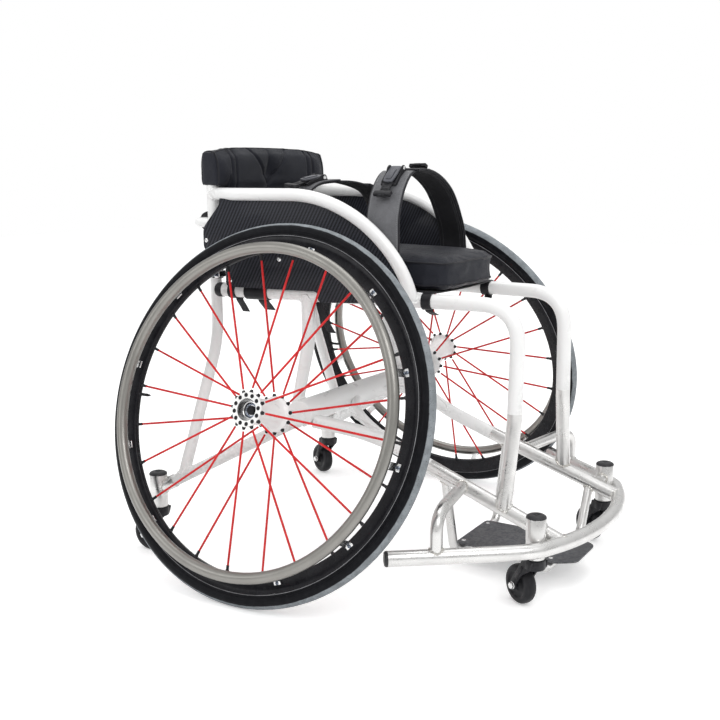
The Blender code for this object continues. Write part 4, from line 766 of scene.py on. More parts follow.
def tyre_finish(name):
    """Black side walls, and a grey worn tread with a fine file pattern and small cuts."""
    material, tree, shader = surface(name, **{"Specular_IOR_Level": 0.1})
    band, places = band_places(tree), object_places(tree)
    split = add(tree, "SeparateXYZ", {0: band})
    round_section = calc(tree, "ABSOLUTE", split.outputs[1])
    edge = grain_at(tree, places, 40.0, 4.0)
    shift = calc(tree, "ADD", round_section, spread(tree, edge, 0.3, 0.7, -0.05, 0.05))
    tread = spread(tree, shift, 1.02, 0.92)
    metres = add(tree, "CombineXYZ", {0: split.outputs[0], 1: product(tree, split.outputs[1],
                                                                   TYRE_RADIUS)}).outputs[0]
    file_marks = place_effect(tree, plain_weave(), Vector=metres, Pitch=0.0016)["Height"]
    darker = tuple(part * 0.5 for part in colour("tread")[:3])
    drift = drifted(tree, places, colour("tread"), (*darker, 1), 70.0, 0.55)
    marks = spread(tree, grain_at(tree, places, 420.0, 6.0), 0.6, 0.66)
    worn = mixed(tree, product(tree, marks, 0.6), drift["Color"], (0.09, 0.095, 0.1, 1))
    wall = mixed(tree, spread(tree, grain_at(tree, places, 90.0, 4.0), 0.4, 0.7, 0.0, 0.5),
                 (0.004, 0.0043, 0.006, 1), (0.012, 0.0125, 0.015, 1))
    link(tree, mixed(tree, tread, wall, worn), shader["Base Color"])
    link(tree, spread(tree, tread, 0, 1, 0.42, 0.78), shader["Roughness"])
    low = bump(tree, product(tree, file_marks, tread), 0.0003, 0.7)
    ribs = calc(tree, "SINE", product(tree, split.outputs[1], 26.0))
    walls = product(tree, ribs, calc(tree, "SUBTRACT", 1.0, tread))
    link(tree, bump(tree, walls, 0.0002, 0.5, low), shader["Normal"])
    return material


def carbon_finish(name):
    """Clear-coated carbon twill, with painted reflection: the tows of one direction painted lighter than the others,
    and a painted sheen of lighter fibre streaks on the tows' crowns.
    """
    material, tree, shader = surface(name, **{"Coat_Weight": 0.12, "Coat_Roughness": 0.12,
                                              "Specular_IOR_Level": 0.1})
    places = object_places(tree)
    split = add(tree, "SeparateXYZ", {0: places})
    flat = add(tree, "CombineXYZ", {0: split.outputs[1], 1: split.outputs[2]}).outputs[0]
    turned_flat = add(tree, "Mapping", {"Vector": flat, "Rotation": (0, 0, radians(17))}).outputs[0]
    twill = place_effect(tree, twill_weave(), Vector=turned_flat, Tow=sizes().tow)
    fibres = place_effect(tree, drawn_grain(), Vector=turned_flat, Stretch=(2600, 300, 1))["Height"]
    # Painted reflection: tows lying on top are painted lighter, standing for how each direction of tow reflects light.
    tone = mixed(tree, twill["Over"], colour("carbon"), (0.03, 0.032, 0.042, 1))
    # Painted sheen: lighter fibre streaks on the tows' crowns stand for highlights.
    shine = spread(tree, fibres, 0.3, 0.8, 0.0, 0.35)
    link(tree, mixed(tree, product(tree, shine, twill["Height"]), tone, (0.07, 0.072, 0.085, 1)),
         shader["Base Color"])
    link(tree, spread(tree, twill["Over"], 0, 1, 0.42, 0.28), shader["Roughness"])
    link(tree, bump(tree, twill["Height"], 0.00035, 0.5), shader["Normal"])
    return material


def fabric_finish(name, base, fine=0.0009, gloss=0.55):
    """Dense synthetic cloth: fine weave with its thread tops painted paler than the hollows as painted light and shade,
    soft sheen, lint and faint creases.
    """
    material, tree, shader = surface(name, **{"Sheen_Weight": 0.08, "Sheen_Roughness": 0.4,
                                              "Specular_IOR_Level": 0.22})
    places = object_places(tree)
    split = add(tree, "SeparateXYZ", {0: places})
    slanted = calc(tree, "ADD", split.outputs[1], split.outputs[2])
    threads = add(tree, "CombineXYZ", {0: calc(tree, "ADD", split.outputs[0], split.outputs[2]), 1: slanted})
    weave = place_effect(tree, plain_weave(), Vector=threads.outputs[0], Pitch=fine)
    paler = tuple(part * 1.8 + 0.002 for part in base[:3])
    drift = drifted(tree, places, base, (*paler, 1), 14.0, 0.4)
    lint = spread(tree, grain_at(tree, places, 850.0, 2.0), 0.7, 0.78)
    # Painted light and shade of the weave: thread tops mixed paler, hollows between threads left darker.
    tone = mixed(tree, product(tree, weave["Height"], 0.35), drift["Color"], (*paler, 1))
    link(tree, mixed(tree, product(tree, lint, 0.5), tone, (0.12, 0.12, 0.13, 1)),
         shader["Base Color"])
    link(tree, spread(tree, grain_at(tree, places, 25.0), 0.3, 0.7, gloss - 0.08, gloss + 0.1),
         shader["Roughness"])
    creases = bump(tree, grain_at(tree, places, 55.0, 4.0), 0.0012, 0.35)
    link(tree, bump(tree, weave["Height"], 0.00022, 0.6, creases), shader["Normal"])
    return material


def webbing_finish(name, base, row, gloss=0.6, pale=(0.1, 0.1, 0.11, 1)):
    """Woven strap: ribbed weave across the band, its thread tops painted paler than its hollows as painted light and
    shade, and two rows of stitches near its edges.
    """
    material, tree, shader = surface(name, **{"Sheen_Weight": 0.06, "Specular_IOR_Level": 0.3})
    band, places = band_places(tree), object_places(tree)
    weave = place_effect(tree, plain_weave(), Vector=band, Pitch=sizes().thread)
    seam = place_effect(tree, stitch_row(), Vector=band, Row=row, Pitch=sizes().stitch)["Mask"]
    paler = tuple(part * 2.2 + 0.004 for part in base[:3])
    drift = drifted(tree, places, base, (*paler, 1), 30.0, 0.5)
    # Painted light and shade of the weave: thread tops mixed paler, hollows between threads left darker.
    tone = mixed(tree, product(tree, weave["Height"], 0.4), drift["Color"], (*paler, 1))
    link(tree, mixed(tree, seam, tone, pale), shader["Base Color"])
    link(tree, spread(tree, grain_at(tree, places, 80.0), 0.3, 0.7, gloss - 0.1, gloss + 0.08),
         shader["Roughness"])
    low = bump(tree, weave["Height"], 0.0003, 0.8)
    link(tree, bump(tree, seam, 0.0005, 0.8, low), shader["Normal"])
    return material


def grip_finish(name):
    """Gritty anti-slip coating with worn edges."""
    material, tree, shader = surface(name)
    places = object_places(tree)
    grit = add(tree, "TexVoronoi", {"Vector": places, "Scale": 850.0}).outputs["Distance"]
    drift = drifted(tree, places, colour("footplate"), (0.1, 0.1, 0.108, 1), 60.0, 0.5)
    sparkle = spread(tree, grit, 0.28, 0.1)
    wear = place_effect(tree, edge_wear(), Vector=places, From=0.52)["Mask"]
    tone = mixed(tree, product(tree, sparkle, 0.35), drift["Color"], (0.17, 0.17, 0.18, 1))
    link(tree, mixed(tree, product(tree, wear, 0.6), tone, (0.5, 0.5, 0.5, 1)), shader["Base Color"])
    link(tree, spread(tree, grit, 0, 0.5, 0.95, 0.7), shader["Roughness"])
    link(tree, bump(tree, grit, 0.0005, 0.8), shader["Normal"])
    return material


FINISHES = {
    "white_paint": (paint_finish, "white_paint"),
    "bare_aluminium": (lambda name: aluminium_finish(name, colour("aluminium"), 0.24, 0.42), "bare_aluminium"),
    "weld_metal": (lambda name: aluminium_finish(name, (0.6, 0.595, 0.58, 1), 0.28, 0.45, (700, 700, 700), 0.35),
                   "bare_aluminium"),
    "bright_metal": (lambda name: aluminium_finish(name, (0.72, 0.72, 0.72, 1), 0.14, 0.26, (900, 900, 200)),
                     "bright_metal"),
    "dark_chrome": (lambda name: aluminium_finish(name, (0.16, 0.18, 0.22, 1), 0.12, 0.22, (900, 900, 200)),
                    "bright_metal"),
    "handrim_metal": (lambda name: aluminium_finish(name, colour("handrim"), 0.34, 0.42, (900, 900, 900)),
                      "handrim_metal"),
    "hub_shell": (paint_finish, "hub_and_spokes"),
    "spoke_red": (spoke_finish, "hub_and_spokes"),
    "black_rim": (lambda name: plastic_finish(name, (0.007, 0.007, 0.009, 1), 0.27, 0.00008), "black_rim"),
    "tyre_rubber": (tyre_finish, "tyre_rubber"),
    # Pale grey rings at the rim's edge: a painted highlight, not the rubber's own colour.
    "bead_line": (lambda name: plastic_finish(name, (0.2, 0.2, 0.21, 1), 0.5), "tyre_rubber"),
    "caster_rubber": (lambda name: plastic_finish(name, (0.014, 0.014, 0.016, 1), 0.42, 0.0003, 500.0),
                      "caster_rubber"),
    "black_plastic": (lambda name: plastic_finish(name, (0.012, 0.012, 0.014, 1), 0.36), "black_plastic"),
    "buckle_grey": (lambda name: plastic_finish(name, (0.075, 0.077, 0.088, 1), 0.3), "bright_metal"),
    "cap_plastic": (lambda name: plastic_finish(name, (0.03, 0.03, 0.032, 1), 0.42, 0.0005, 260.0),
                    "black_plastic"),
    "black_foam": (lambda name: plastic_finish(name, (0.012, 0.012, 0.013, 1), 0.78, 0.0009, 420.0),
                   "black_foam"),
    "footplate_grey": (grip_finish, "footplate_grey"),
    "carbon_weave": (carbon_finish, "carbon_weave"),
    "dark_fabric": (lambda name: fabric_finish(name, colour("fabric")), "dark_fabric"),
    "piping": (lambda name: fabric_finish(name, (0.009, 0.009, 0.012, 1), 0.0009, 0.42), "dark_fabric"),
    "webbing": (lambda name: webbing_finish(name, (0.008, 0.008, 0.01, 1), 0.0185), "webbing"),
    # Grey pads: part their own grey, part a painted highlight lifting the colour.
    "pad_grey": (lambda name: webbing_finish(name, (0.085, 0.086, 0.092, 1), 0.0262, 0.3, (0.22, 0.22, 0.23, 1)),
                 "webbing"),
    "pad_black": (lambda name: webbing_finish(name, (0.01, 0.01, 0.013, 1), 0.0262, 0.6), "webbing"),
}


def finish(name):
    """A finish by name, made when it is first used."""
    return bpy.data.materials.get(name + "_finish") or FINISHES[name][0](name + "_finish")


def dress(item, finish_name, body="frame", replaced=()):
    """Give a piece its finish and its body, and hide the CAD nodes that it stands for."""
    item.data.materials.clear()
    item.data.materials.append(finish(finish_name))
    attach(item, body)
    if replaced:
        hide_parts(*replaced)
    return item


def screw_head(name, radius, height, place, socket=True):
    """A button-head screw with a hexagon socket."""
    profile = [(0, height), (radius * 0.55, height), (radius * 0.9, height * 0.62), (radius, 0.0002),
               (radius, -0.0008), (0, -0.0008)]
    if socket:
        profile = [(0, height * 0.35), (radius * 0.42, height * 0.35), (radius * 0.46, height)] + profile[1:]
    return turned(name, profile, 18, place, False)


def hex_head(name, across, height, place):
    """A hexagon bolt head with a chamfered rim, on its washer."""
    only()
    bpy.ops.mesh.primitive_cylinder_add(vertices=6, radius=across / 2 / cos(pi / 6), depth=height,
                                        location=(0, 0, height / 2 + 0.0008))
    head = named(name)
    edit_all()
    bpy.ops.mesh.bevel(offset=height * 0.16, segments=2, affect="EDGES")
    bpy.ops.object.mode_set(mode="OBJECT")
    settle(head)
    radius = across * 0.62
    washer = turned(name + "_washer", [(0, 0.001), (radius - 0.0003, 0.001), (radius, 0.0007), (radius, 0),
                                       (0, 0)], 24, None, False)
    return settle(joined(name, [head, washer]), place)


# One operator for each piece, or group of like pieces

class CHAIR_OT_stage(bpy.types.Operator):
    """Lay the floor, set the light and place the camera"""
    bl_idname = "chair.stage"
    bl_label = "Stage"

    def execute(self, context):
        scene = context.scene
        only()
        bpy.ops.mesh.primitive_plane_add(size=16)
        floor = named("floor")
        material, tree, shader = surface("pale_floor", Roughness=0.9)
        places = object_places(tree)
        tone = spread(tree, grain_at(tree, places, 3.0), 0.3, 0.7, 0.9, 0.93)
        link(tree, add(tree, "CombineColor", {0: tone, 1: tone, 2: tone}).outputs[0], shader["Base Color"])
        shader["Emission Color"].default_value = (1, 1, 1, 1)
        path = add(tree, "LightPath").outputs
        seen = calc(tree, "MAXIMUM", path["Is Camera Ray"],
                    calc(tree, "MAXIMUM", path["Is Glossy Ray"], path["Is Transmission Ray"]))
        link(tree, product(tree, seen, 0.34), shader["Emission Strength"])
        floor.data.materials.append(material)

        world = scene.world or bpy.data.worlds.new("studio")
        scene.world = world
        world.use_nodes = True
        tree = world.node_tree
        tree.nodes.clear()
        path = add(tree, "LightPath").outputs
        height = add(tree, "SeparateXYZ", {0: add(tree, "TexCoord").outputs["Generated"]}).outputs[2]
        soft = add(tree, "Background", {0: (1, 1, 1, 1), 1: spread(tree, height, -0.2, 0.8, 0.5, 1.0)})
        white = add(tree, "Background", {0: (1, 1, 1, 1), 1: 1.0})
        mix = add(tree, "MixShader", {0: calc(tree, "MAXIMUM", path["Is Camera Ray"], path["Is Transmission Ray"]),
                                      1: soft.outputs[0], 2: white.outputs[0]})
        link(tree, mix.outputs[0], tree.nodes.new("ShaderNodeOutputWorld").inputs[0])

        for name, place, size, power in (("key", (-1.6, -2.2, 2.9), 1.8, 34), ("fill", (-2.6, 1.6, 1.7), 1.6, 11),
                                         ("top", (0.8, 0.4, 3.2), 2.4, 22)):
            only()
            bpy.ops.object.light_add(type="AREA", location=place)
            lamp = bpy.context.object
            lamp.name = name + "_light"
            lamp.data.shape = "DISK"
            lamp.data.size = size
            lamp.data.energy = power
            aimed = Vector((0, 0, 0.3)) - Vector(place)
            lamp.rotation_euler = aimed.to_track_quat("-Z", "Y").to_euler()

        only()
        bpy.ops.object.camera_add()
        camera = bpy.context.object
        camera.name = "photo_camera"
        turn = Matrix(((0.51596, 0.17494, -0.83856), (-0.85661, 0.10351, -0.50547),
                       (-0.00163, 0.97912, 0.20327))).to_4x4()
        camera.matrix_world = moved(-1.6063, -0.8937, 0.6974) @ turn
        camera.data.sensor_width = 36
        camera.data.lens = 50.202
        camera.data.shift_x, camera.data.shift_y = -0.0113, 0.0259
        camera.data.clip_start = 0.05
        camera.data.dof.use_dof = False
        scene.camera = camera
        scene.view_settings.view_transform = "Standard"
        return {"FINISHED"}


class CHAIR_OT_tyres(bpy.types.Operator):
    """Model both tyres with their tread, and pale grey rings at the rim's edge that are a painted highlight"""
    bl_idname = "chair.tyres"
    bl_label = "Tyres"

    def execute(self, context):
        for hand, side in SIDES:
            place = wheel_axis(side)
            profile = [(RIM_OUTER + 0.0002, 0.0102)]
            for step in range(27):
                angle = radians(128 - 256 * step / 26)
                squash = 1 + 0.03 * cos(angle * 2)
                profile.append((TYRE_CENTRE + TYRE_RADIUS * squash * cos(angle) * 0.97,
                                TYRE_RADIUS * sin(angle) * 1.0))
            profile.append((RIM_OUTER + 0.0002, -0.0102))
            tyre = turned("road_tyre_" + hand, profile, sizes().facets, place)
            section_uv(tyre, place, TYRE_CENTRE)
            dress(tyre, "tyre_rubber", "wheel_" + hand, ["tyre_" + hand])
            # Pale grey rings where tyre meets rim: a painted highlight of the rim's edge.
            lines = []
            for z in (-0.0106, 0.0106):
                ring = [(RIM_OUTER + 0.0012 + 0.0006 * cos(a), z + 0.0006 * sin(a))
                        for a in (radians(60 * k) for k in range(6))]
                lines.append(turned("line", ring, sizes().facets, place))
            dress(joined("tyre_bead_line_" + hand, lines), "bead_line", "wheel_" + hand)
        return {"FINISHED"}


class CHAIR_OT_rims(bpy.types.Operator):
    """Model both deep rims with valve stems"""
    bl_idname = "chair.rims"
    bl_label = "Rims"

    def execute(self, context):
        half = [(0.2955, 0.0092), (0.2953, 0.0105), (0.2942, 0.0114), (0.2905, 0.0115), (0.2885, 0.011),
                (0.284, 0.0098), (0.278, 0.0078), (0.273, 0.006), (0.2708, 0.0048), (0.27, 0.0032),
                (0.27, 0.0)]
        profile = half + [(radius, -height) for radius, height in reversed(half[:-1])]
        for hand, side in SIDES:
            place = wheel_axis(side)
            dress(turned("deep_rim_" + hand, profile, sizes().facets, place), "black_rim", "wheel_" + hand,
                  ["rim_" + hand])
            turn = pi / 2 if side > 0 else -pi / 2
            stand = place @ spun(turn, "Z") @ moved(RIM_INNER + 0.001, 0, 0) \
                @ spun(-pi / 2, "Y")
            stem = [(0, 0.025), (0.0012, 0.025), (0.0014, 0.0225), (0.0022, 0.022), (0.0022, 0.0185)]
            for step in range(5):
                stem += [(0.0028, 0.0178 - step * 0.003), (0.0025, 0.0163 - step * 0.003)]
            stem += [(0.0038, 0.003), (0.0038, 0.0005), (0, 0.0005)]
            dress(turned("valve_stem_" + hand, stem, 20, stand, False), "black_plastic", "wheel_" + hand)
        return {"FINISHED"}


class CHAIR_OT_spokes(bpy.types.Operator):
    """Model the hubs, their spokes and the sleeves at both ends"""
    bl_idname = "chair.spokes"
    bl_label = "Hubs and spokes"

    def execute(self, context):
        radius = sizes().spoke_radius
        shell = [(0.0187, 0.0419), (0.0192, 0.0422), (0.028, 0.0422), (0.0288, 0.0414), (0.029, 0.0402),
                 (0.029, 0.0366), (0.0282, 0.035), (0.0258, 0.0334), (0.024, 0.0308), (0.0229, 0.026),
                 (0.0225, 0.018), (0.0222, 0.0), (0.0225, -0.018), (0.0232, -0.0265), (0.0248, -0.0312),
                 (0.0275, -0.0338), (0.0302, -0.035), (0.031, -0.0364), (0.031, -0.0404), (0.03, -0.0417),
                 (0.015, -0.0419), (0.0146, -0.0417), (0.0146, 0.0103), (0.0187, 0.0103)]
        for hand, side in SIDES:
            place = wheel_axis(side)
            body = "wheel_" + hand
            dress(turned("hub_shell_" + hand, shell, 64, place), "hub_shell", body, ["spoked_hub_" + hand])
            reds, lengths = [], []
            for index in range(SPOKE_COUNT):
                outer = index % 2 == 1
                foot = (OUTER_FLANGE if outer else INNER_FLANGE) - 0.001
                start = Vector((foot, 0, FLANGE_OFFSET if outer else -FLANGE_OFFSET))
                end = Vector((RIM_INNER + 0.0006, 0, 0))
                lengths.append((end - start).length)
                lean = (end - start).normalized().to_track_quat("Z", "Y").to_matrix().to_4x4()
                stand = place @ spun(SPOKE_PHASE + 2 * pi * index / SPOKE_COUNT, "Z") \
                    @ Matrix.Translation(start) @ lean
                reds.append(stand)
            length = lengths[0]
            strand = turned("strand", [(0, 0.008), (radius * 0.92, 0.008), (radius, 0.03), (radius, length - 0.03),
                                       (radius * 0.92, length - 0.01), (0, length - 0.01)], 10, None, False)
            dress(copies("spoke_strands_" + hand, strand, reds), "spoke_red", body)
            rim_end = turned("rim_end", [(0, length - 0.0115), (0.002, length - 0.0115), (0.0025, length - 0.0105),
                                         (0.0024, length - 0.004), (0.0031, length - 0.003), (0.0031, length),
                                         (0, length)], 12, None, False)
            hub_end = turned("hub_end", [(0, 0.0052), (0.0021, 0.0052), (0.0026, 0.0046), (0.0028, 0.003),
                                         (0.0034, 0.0022), (0.0034, -0.001), (0, -0.001)], 12, None, False)
            for label, end_piece in (("rim", rim_end), ("hub", hub_end)):
                dress(copies("spoke_%s_sleeves_%s" % (label, hand), end_piece, reds), "black_plastic", body)
            plug_places = round_places(12, place, SPOKE_PHASE)
            outside = [spot @ moved(0.0238, 0, 0.0421) for spot in plug_places]
            plug = turned("plug", [(0, 0.0001), (0.0014, 0.0002), (0.002, 0.0009), (0.0031, 0.0009),
                                   (0.0035, 0.0004), (0.0035, -0.001), (0, -0.001)], 18, None, False)
            dress(copies("flange_plugs_" + hand, plug, outside), "black_plastic", body)
            dish = [(0.0184, 0.0413), (0.0186, 0.0405), (0.0186, 0.0113), (0.0152, 0.0111), (0.0152, 0.0106),
                    (0.0187, 0.0106), (0.0188, 0.04), (0.0188, 0.0413)]
            dress(turned("recess_lining_" + hand, dish, 48, place), "bright_metal", body)
        return {"FINISHED"}


class CHAIR_OT_handrims(bpy.types.Operator):
    """Model the handrims with their brackets and screws"""
    bl_idname = "chair.handrims"
    bl_label = "Handrims"

    def execute(self, context):
        radius = sizes().handrim_tube
        for hand, side in SIDES:
            place = wheel_axis(side)
            profile = []
            for step in range(20):
                angle = -2 * pi * step / 20
                profile.append((HANDRIM_RADIUS + radius * cos(angle), HANDRIM_OFFSET + radius * sin(angle)))
            hoop = turned("push_handrim_" + hand, profile, sizes().facets, place)
            dress(hoop, "handrim_metal", "wheel_" + hand, ["handrim_" + hand])
            foot, head = Vector((0.2775, 0, 0.0078)), Vector((0.27, 0, 0.0325))
            run = head - foot
            lean = aim((foot + head) / 2, run, (0, 1, 0))
            spots = round_places(12, place, SPOKE_PHASE + radians(7.5))
            web = block("web", (0.0026, 0.013, run.length), lean, 0.0009)
            toe = block("toe", (0.01, 0.013, 0.0022), moved(0.2795, 0, 0.0092)
                        @ spun(radians(18), "Y"), 0.0008)
            bracket = joined("bracket", [web, toe])
            dress(copies("handrim_brackets_" + hand, bracket, spots), "bright_metal", "wheel_" + hand)
            screw = screw_head("screw", 0.003, 0.0018, moved(0.28, 0, 0.0102)
                               @ spun(radians(18), "Y"))
            dress(copies("handrim_screws_" + hand, screw, spots), "dark_chrome", "wheel_" + hand)
        return {"FINISHED"}


class CHAIR_OT_axles(bpy.types.Operator):
    """Model the quick-release pins, their buttons and the hub bearings"""
    bl_idname = "chair.axles"
    bl_label = "Axle pins"

    def execute(self, context):
        for hand, side in SIDES:
            place = wheel_axis(side)
            head = [(0.0078, 0.0172), (0.0078, 0.0265), (0.0112, 0.0265), (0.0118, 0.027), (0.0127, 0.0314),
                    (0.0133, 0.032), (0.0141, 0.032), (0.0148, 0.0316), (0.015, 0.0308), (0.015, 0.02),
                    (0.0146, 0.019), (0.0146, 0.018), (0.015, 0.017), (0.015, 0.0145), (0.012, 0.0108),
                    (0.0063, 0.0108)]
            shank = [(0.0063, -0.11), (0.006, -0.1104), (0.006, -0.1116), (0.0063, -0.112), (0.0063, -0.122),
                     (0.0052, -0.1238), (0, -0.124)]
            dress(turned("quick_release_pin_" + hand, [(0, 0.0172)] + head + shank, 48, place, False),
                  "bright_metal", "frame", ["axle_pin_" + hand])
            collar = [(0.0086, 0.0266), (0.0112, 0.0266), (0.0112, 0.0274), (0.0106, 0.0279), (0.009, 0.0279),
                      (0.0086, 0.0274)]
            dress(turned("pin_collar_" + hand, collar, 40, place), "dark_chrome")
            button = [(0, 0.0306), (0.002, 0.0306), (0.0026, 0.0303), (0.005, 0.0304), (0.0066, 0.0308),
                      (0.0073, 0.0303), (0.0075, 0.0294), (0.0075, 0.0216), (0, 0.0216)]
            dress(turned("push_button_" + hand, button, 36, place, False), "black_plastic", "button_" + hand,
                  ["release_button_" + hand])
            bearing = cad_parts["hub_bearings_" + hand]
            bearing.data.materials.clear()
            bearing.data.materials.append(finish("bright_metal"))
        return {"FINISHED"}


class CHAIR_OT_painted_frame(bpy.types.Operator):
    """Model the painted tubes, the axle beam and their welds"""
    bl_idname = "chair.painted_frame"
    bl_label = "Painted frame"

    def execute(self, context):
        up = Vector((0, 0, 1))
        lengthways = Vector((rail_x(0.1) - rail_x(0), 0.1, 0)).normalized()
        for hand, side in SIDES:
            beads = []
            rail = frame_tube("rail_tube_" + hand, rail_path, RAIL_RADIUS, side, 32)
            taper = [(0.01 + 0.0035 * (point.z - BEAM_Z) / (RAIL_Z - BEAM_Z)) / 0.0135
                     for point in middle_post_path]
            post = frame_tube("post", middle_post_path, 0.0135, side, 28, taper)
            weld(beads, side, (rail_x(0.02), 0.02, RAIL_Z), (0, 0, -1), 0.0133, (rail_x(0.02), 0.02, RAIL_Z),
                 lengthways,
                 RAIL_RADIUS)
            foot_run = (middle_post_path[-2] - middle_post_path[-1]).normalized()
            weld(beads, side, middle_post_path[-1], foot_run, 0.0102, (0, 0, BEAM_Z), (1, 0, 0), BEAM_HEIGHT)
            dress(joined("seat_rail_tube_" + hand, [rail, post, *beads]), "white_paint", "frame",
                  ["seat_rail_" + hand])

            beads = []
            guard = frame_tube("guard", guard_path, GUARD_RADIUS, side, 28)
            rear = frame_tube("rear", rear_post_path, REAR_POST_RADIUS, side, 28)
            weld(beads, side, (0.161, REAR_POST_Y, GUARD_TOP_Z), guard_path[1] - guard_path[0], GUARD_RADIUS,
                 (0.161, REAR_POST_Y, GUARD_TOP_Z), up, REAR_POST_RADIUS)
            weld(beads, side, guard_path[-1], guard_path[-3] - guard_path[-1], GUARD_RADIUS,
                 (rail_x(-0.184), -0.184, RAIL_Z), lengthways, RAIL_RADIUS)
            member_axis = REAR_MEMBER_END - REAR_MEMBER_START
            weld(beads, side, rear_post_path[-1], rear_post_path[-2] - rear_post_path[-1], REAR_POST_RADIUS,
                 post_landing,
                 member_axis, MEMBER_RADIUS)
            dress(joined("guard_hoop_" + hand, [guard, rear, *beads]), "white_paint", "frame",
                  ["guard_tube_" + hand])

            beads = []
            member = frame_tube("member", member_path, RAIL_RADIUS, side, 32)
            brace = frame_tube("brace", brace_path, SLIM_RADIUS, side, 20)
            weld(beads, side, member_path[0], member_path[2] - member_path[0], RAIL_RADIUS, (0, 0, BEAM_Z), (1, 0, 0),
                 BEAM_HEIGHT)
            weld(beads, side, brace_path[0], brace_path[1] - brace_path[0], SLIM_RADIUS, (0, 0, BEAM_Z), (1, 0, 0),
                 0.0225)
            weld(beads, side, brace_path[-1], brace_path[-3] - brace_path[-1], SLIM_RADIUS, member_path[-3],
                 member_path[-1] - member_path[-4], RAIL_RADIUS)
            dress(joined("side_member_tube_" + hand, [member, brace, *beads]), "white_paint", "frame",
                  ["side_member_" + hand])

            beads = []
            split = REAR_MEMBER_END - member_axis.normalized() * 0.036
            tail = frame_tube("tail", [REAR_MEMBER_START, split], MEMBER_RADIUS, side, 28)
            weld(beads, side, REAR_MEMBER_START, member_axis, MEMBER_RADIUS, (0, 0, BEAM_Z), (1, 0, 0), BEAM_HEIGHT)
            dress(joined("rear_member_tube_" + hand, [tail, *beads]), "white_paint", "frame",
                  ["rear_member_" + hand])

        only()
        bpy.ops.mesh.primitive_cylinder_add(vertices=48, radius=1, depth=2)
        beam = named("oval_axle_beam")
        beam.scale = BEAM_HALF_SIZE
        beam.rotation_euler.y = pi / 2
        beam.location = from_axle((0, 0, BEAM_Z))
        bpy.ops.object.transform_apply(location=True, rotation=True, scale=True)
        modify(beam, "BEVEL", width=0.002, segments=3, limit_method="ANGLE", angle_limit=radians(60))
        settle(beam)
        parts = [beam]
        for hand, side in SIDES:
            place = wheel_axis(side)
            profile = [(0.0066, -0.05), (0.013, -0.05), (0.0136, -0.0508), (0.0136, -0.054), (0.013, -0.0545),
                       (0.013, -0.1165), (0.0125, -0.118), (0.0066, -0.118)]
            parts.append(turned("socket_" + hand, profile, 32, place))
        dress(joined("oval_axle_beam", parts), "white_paint", "frame", ["axle_beam"])
        return {"FINISHED"}


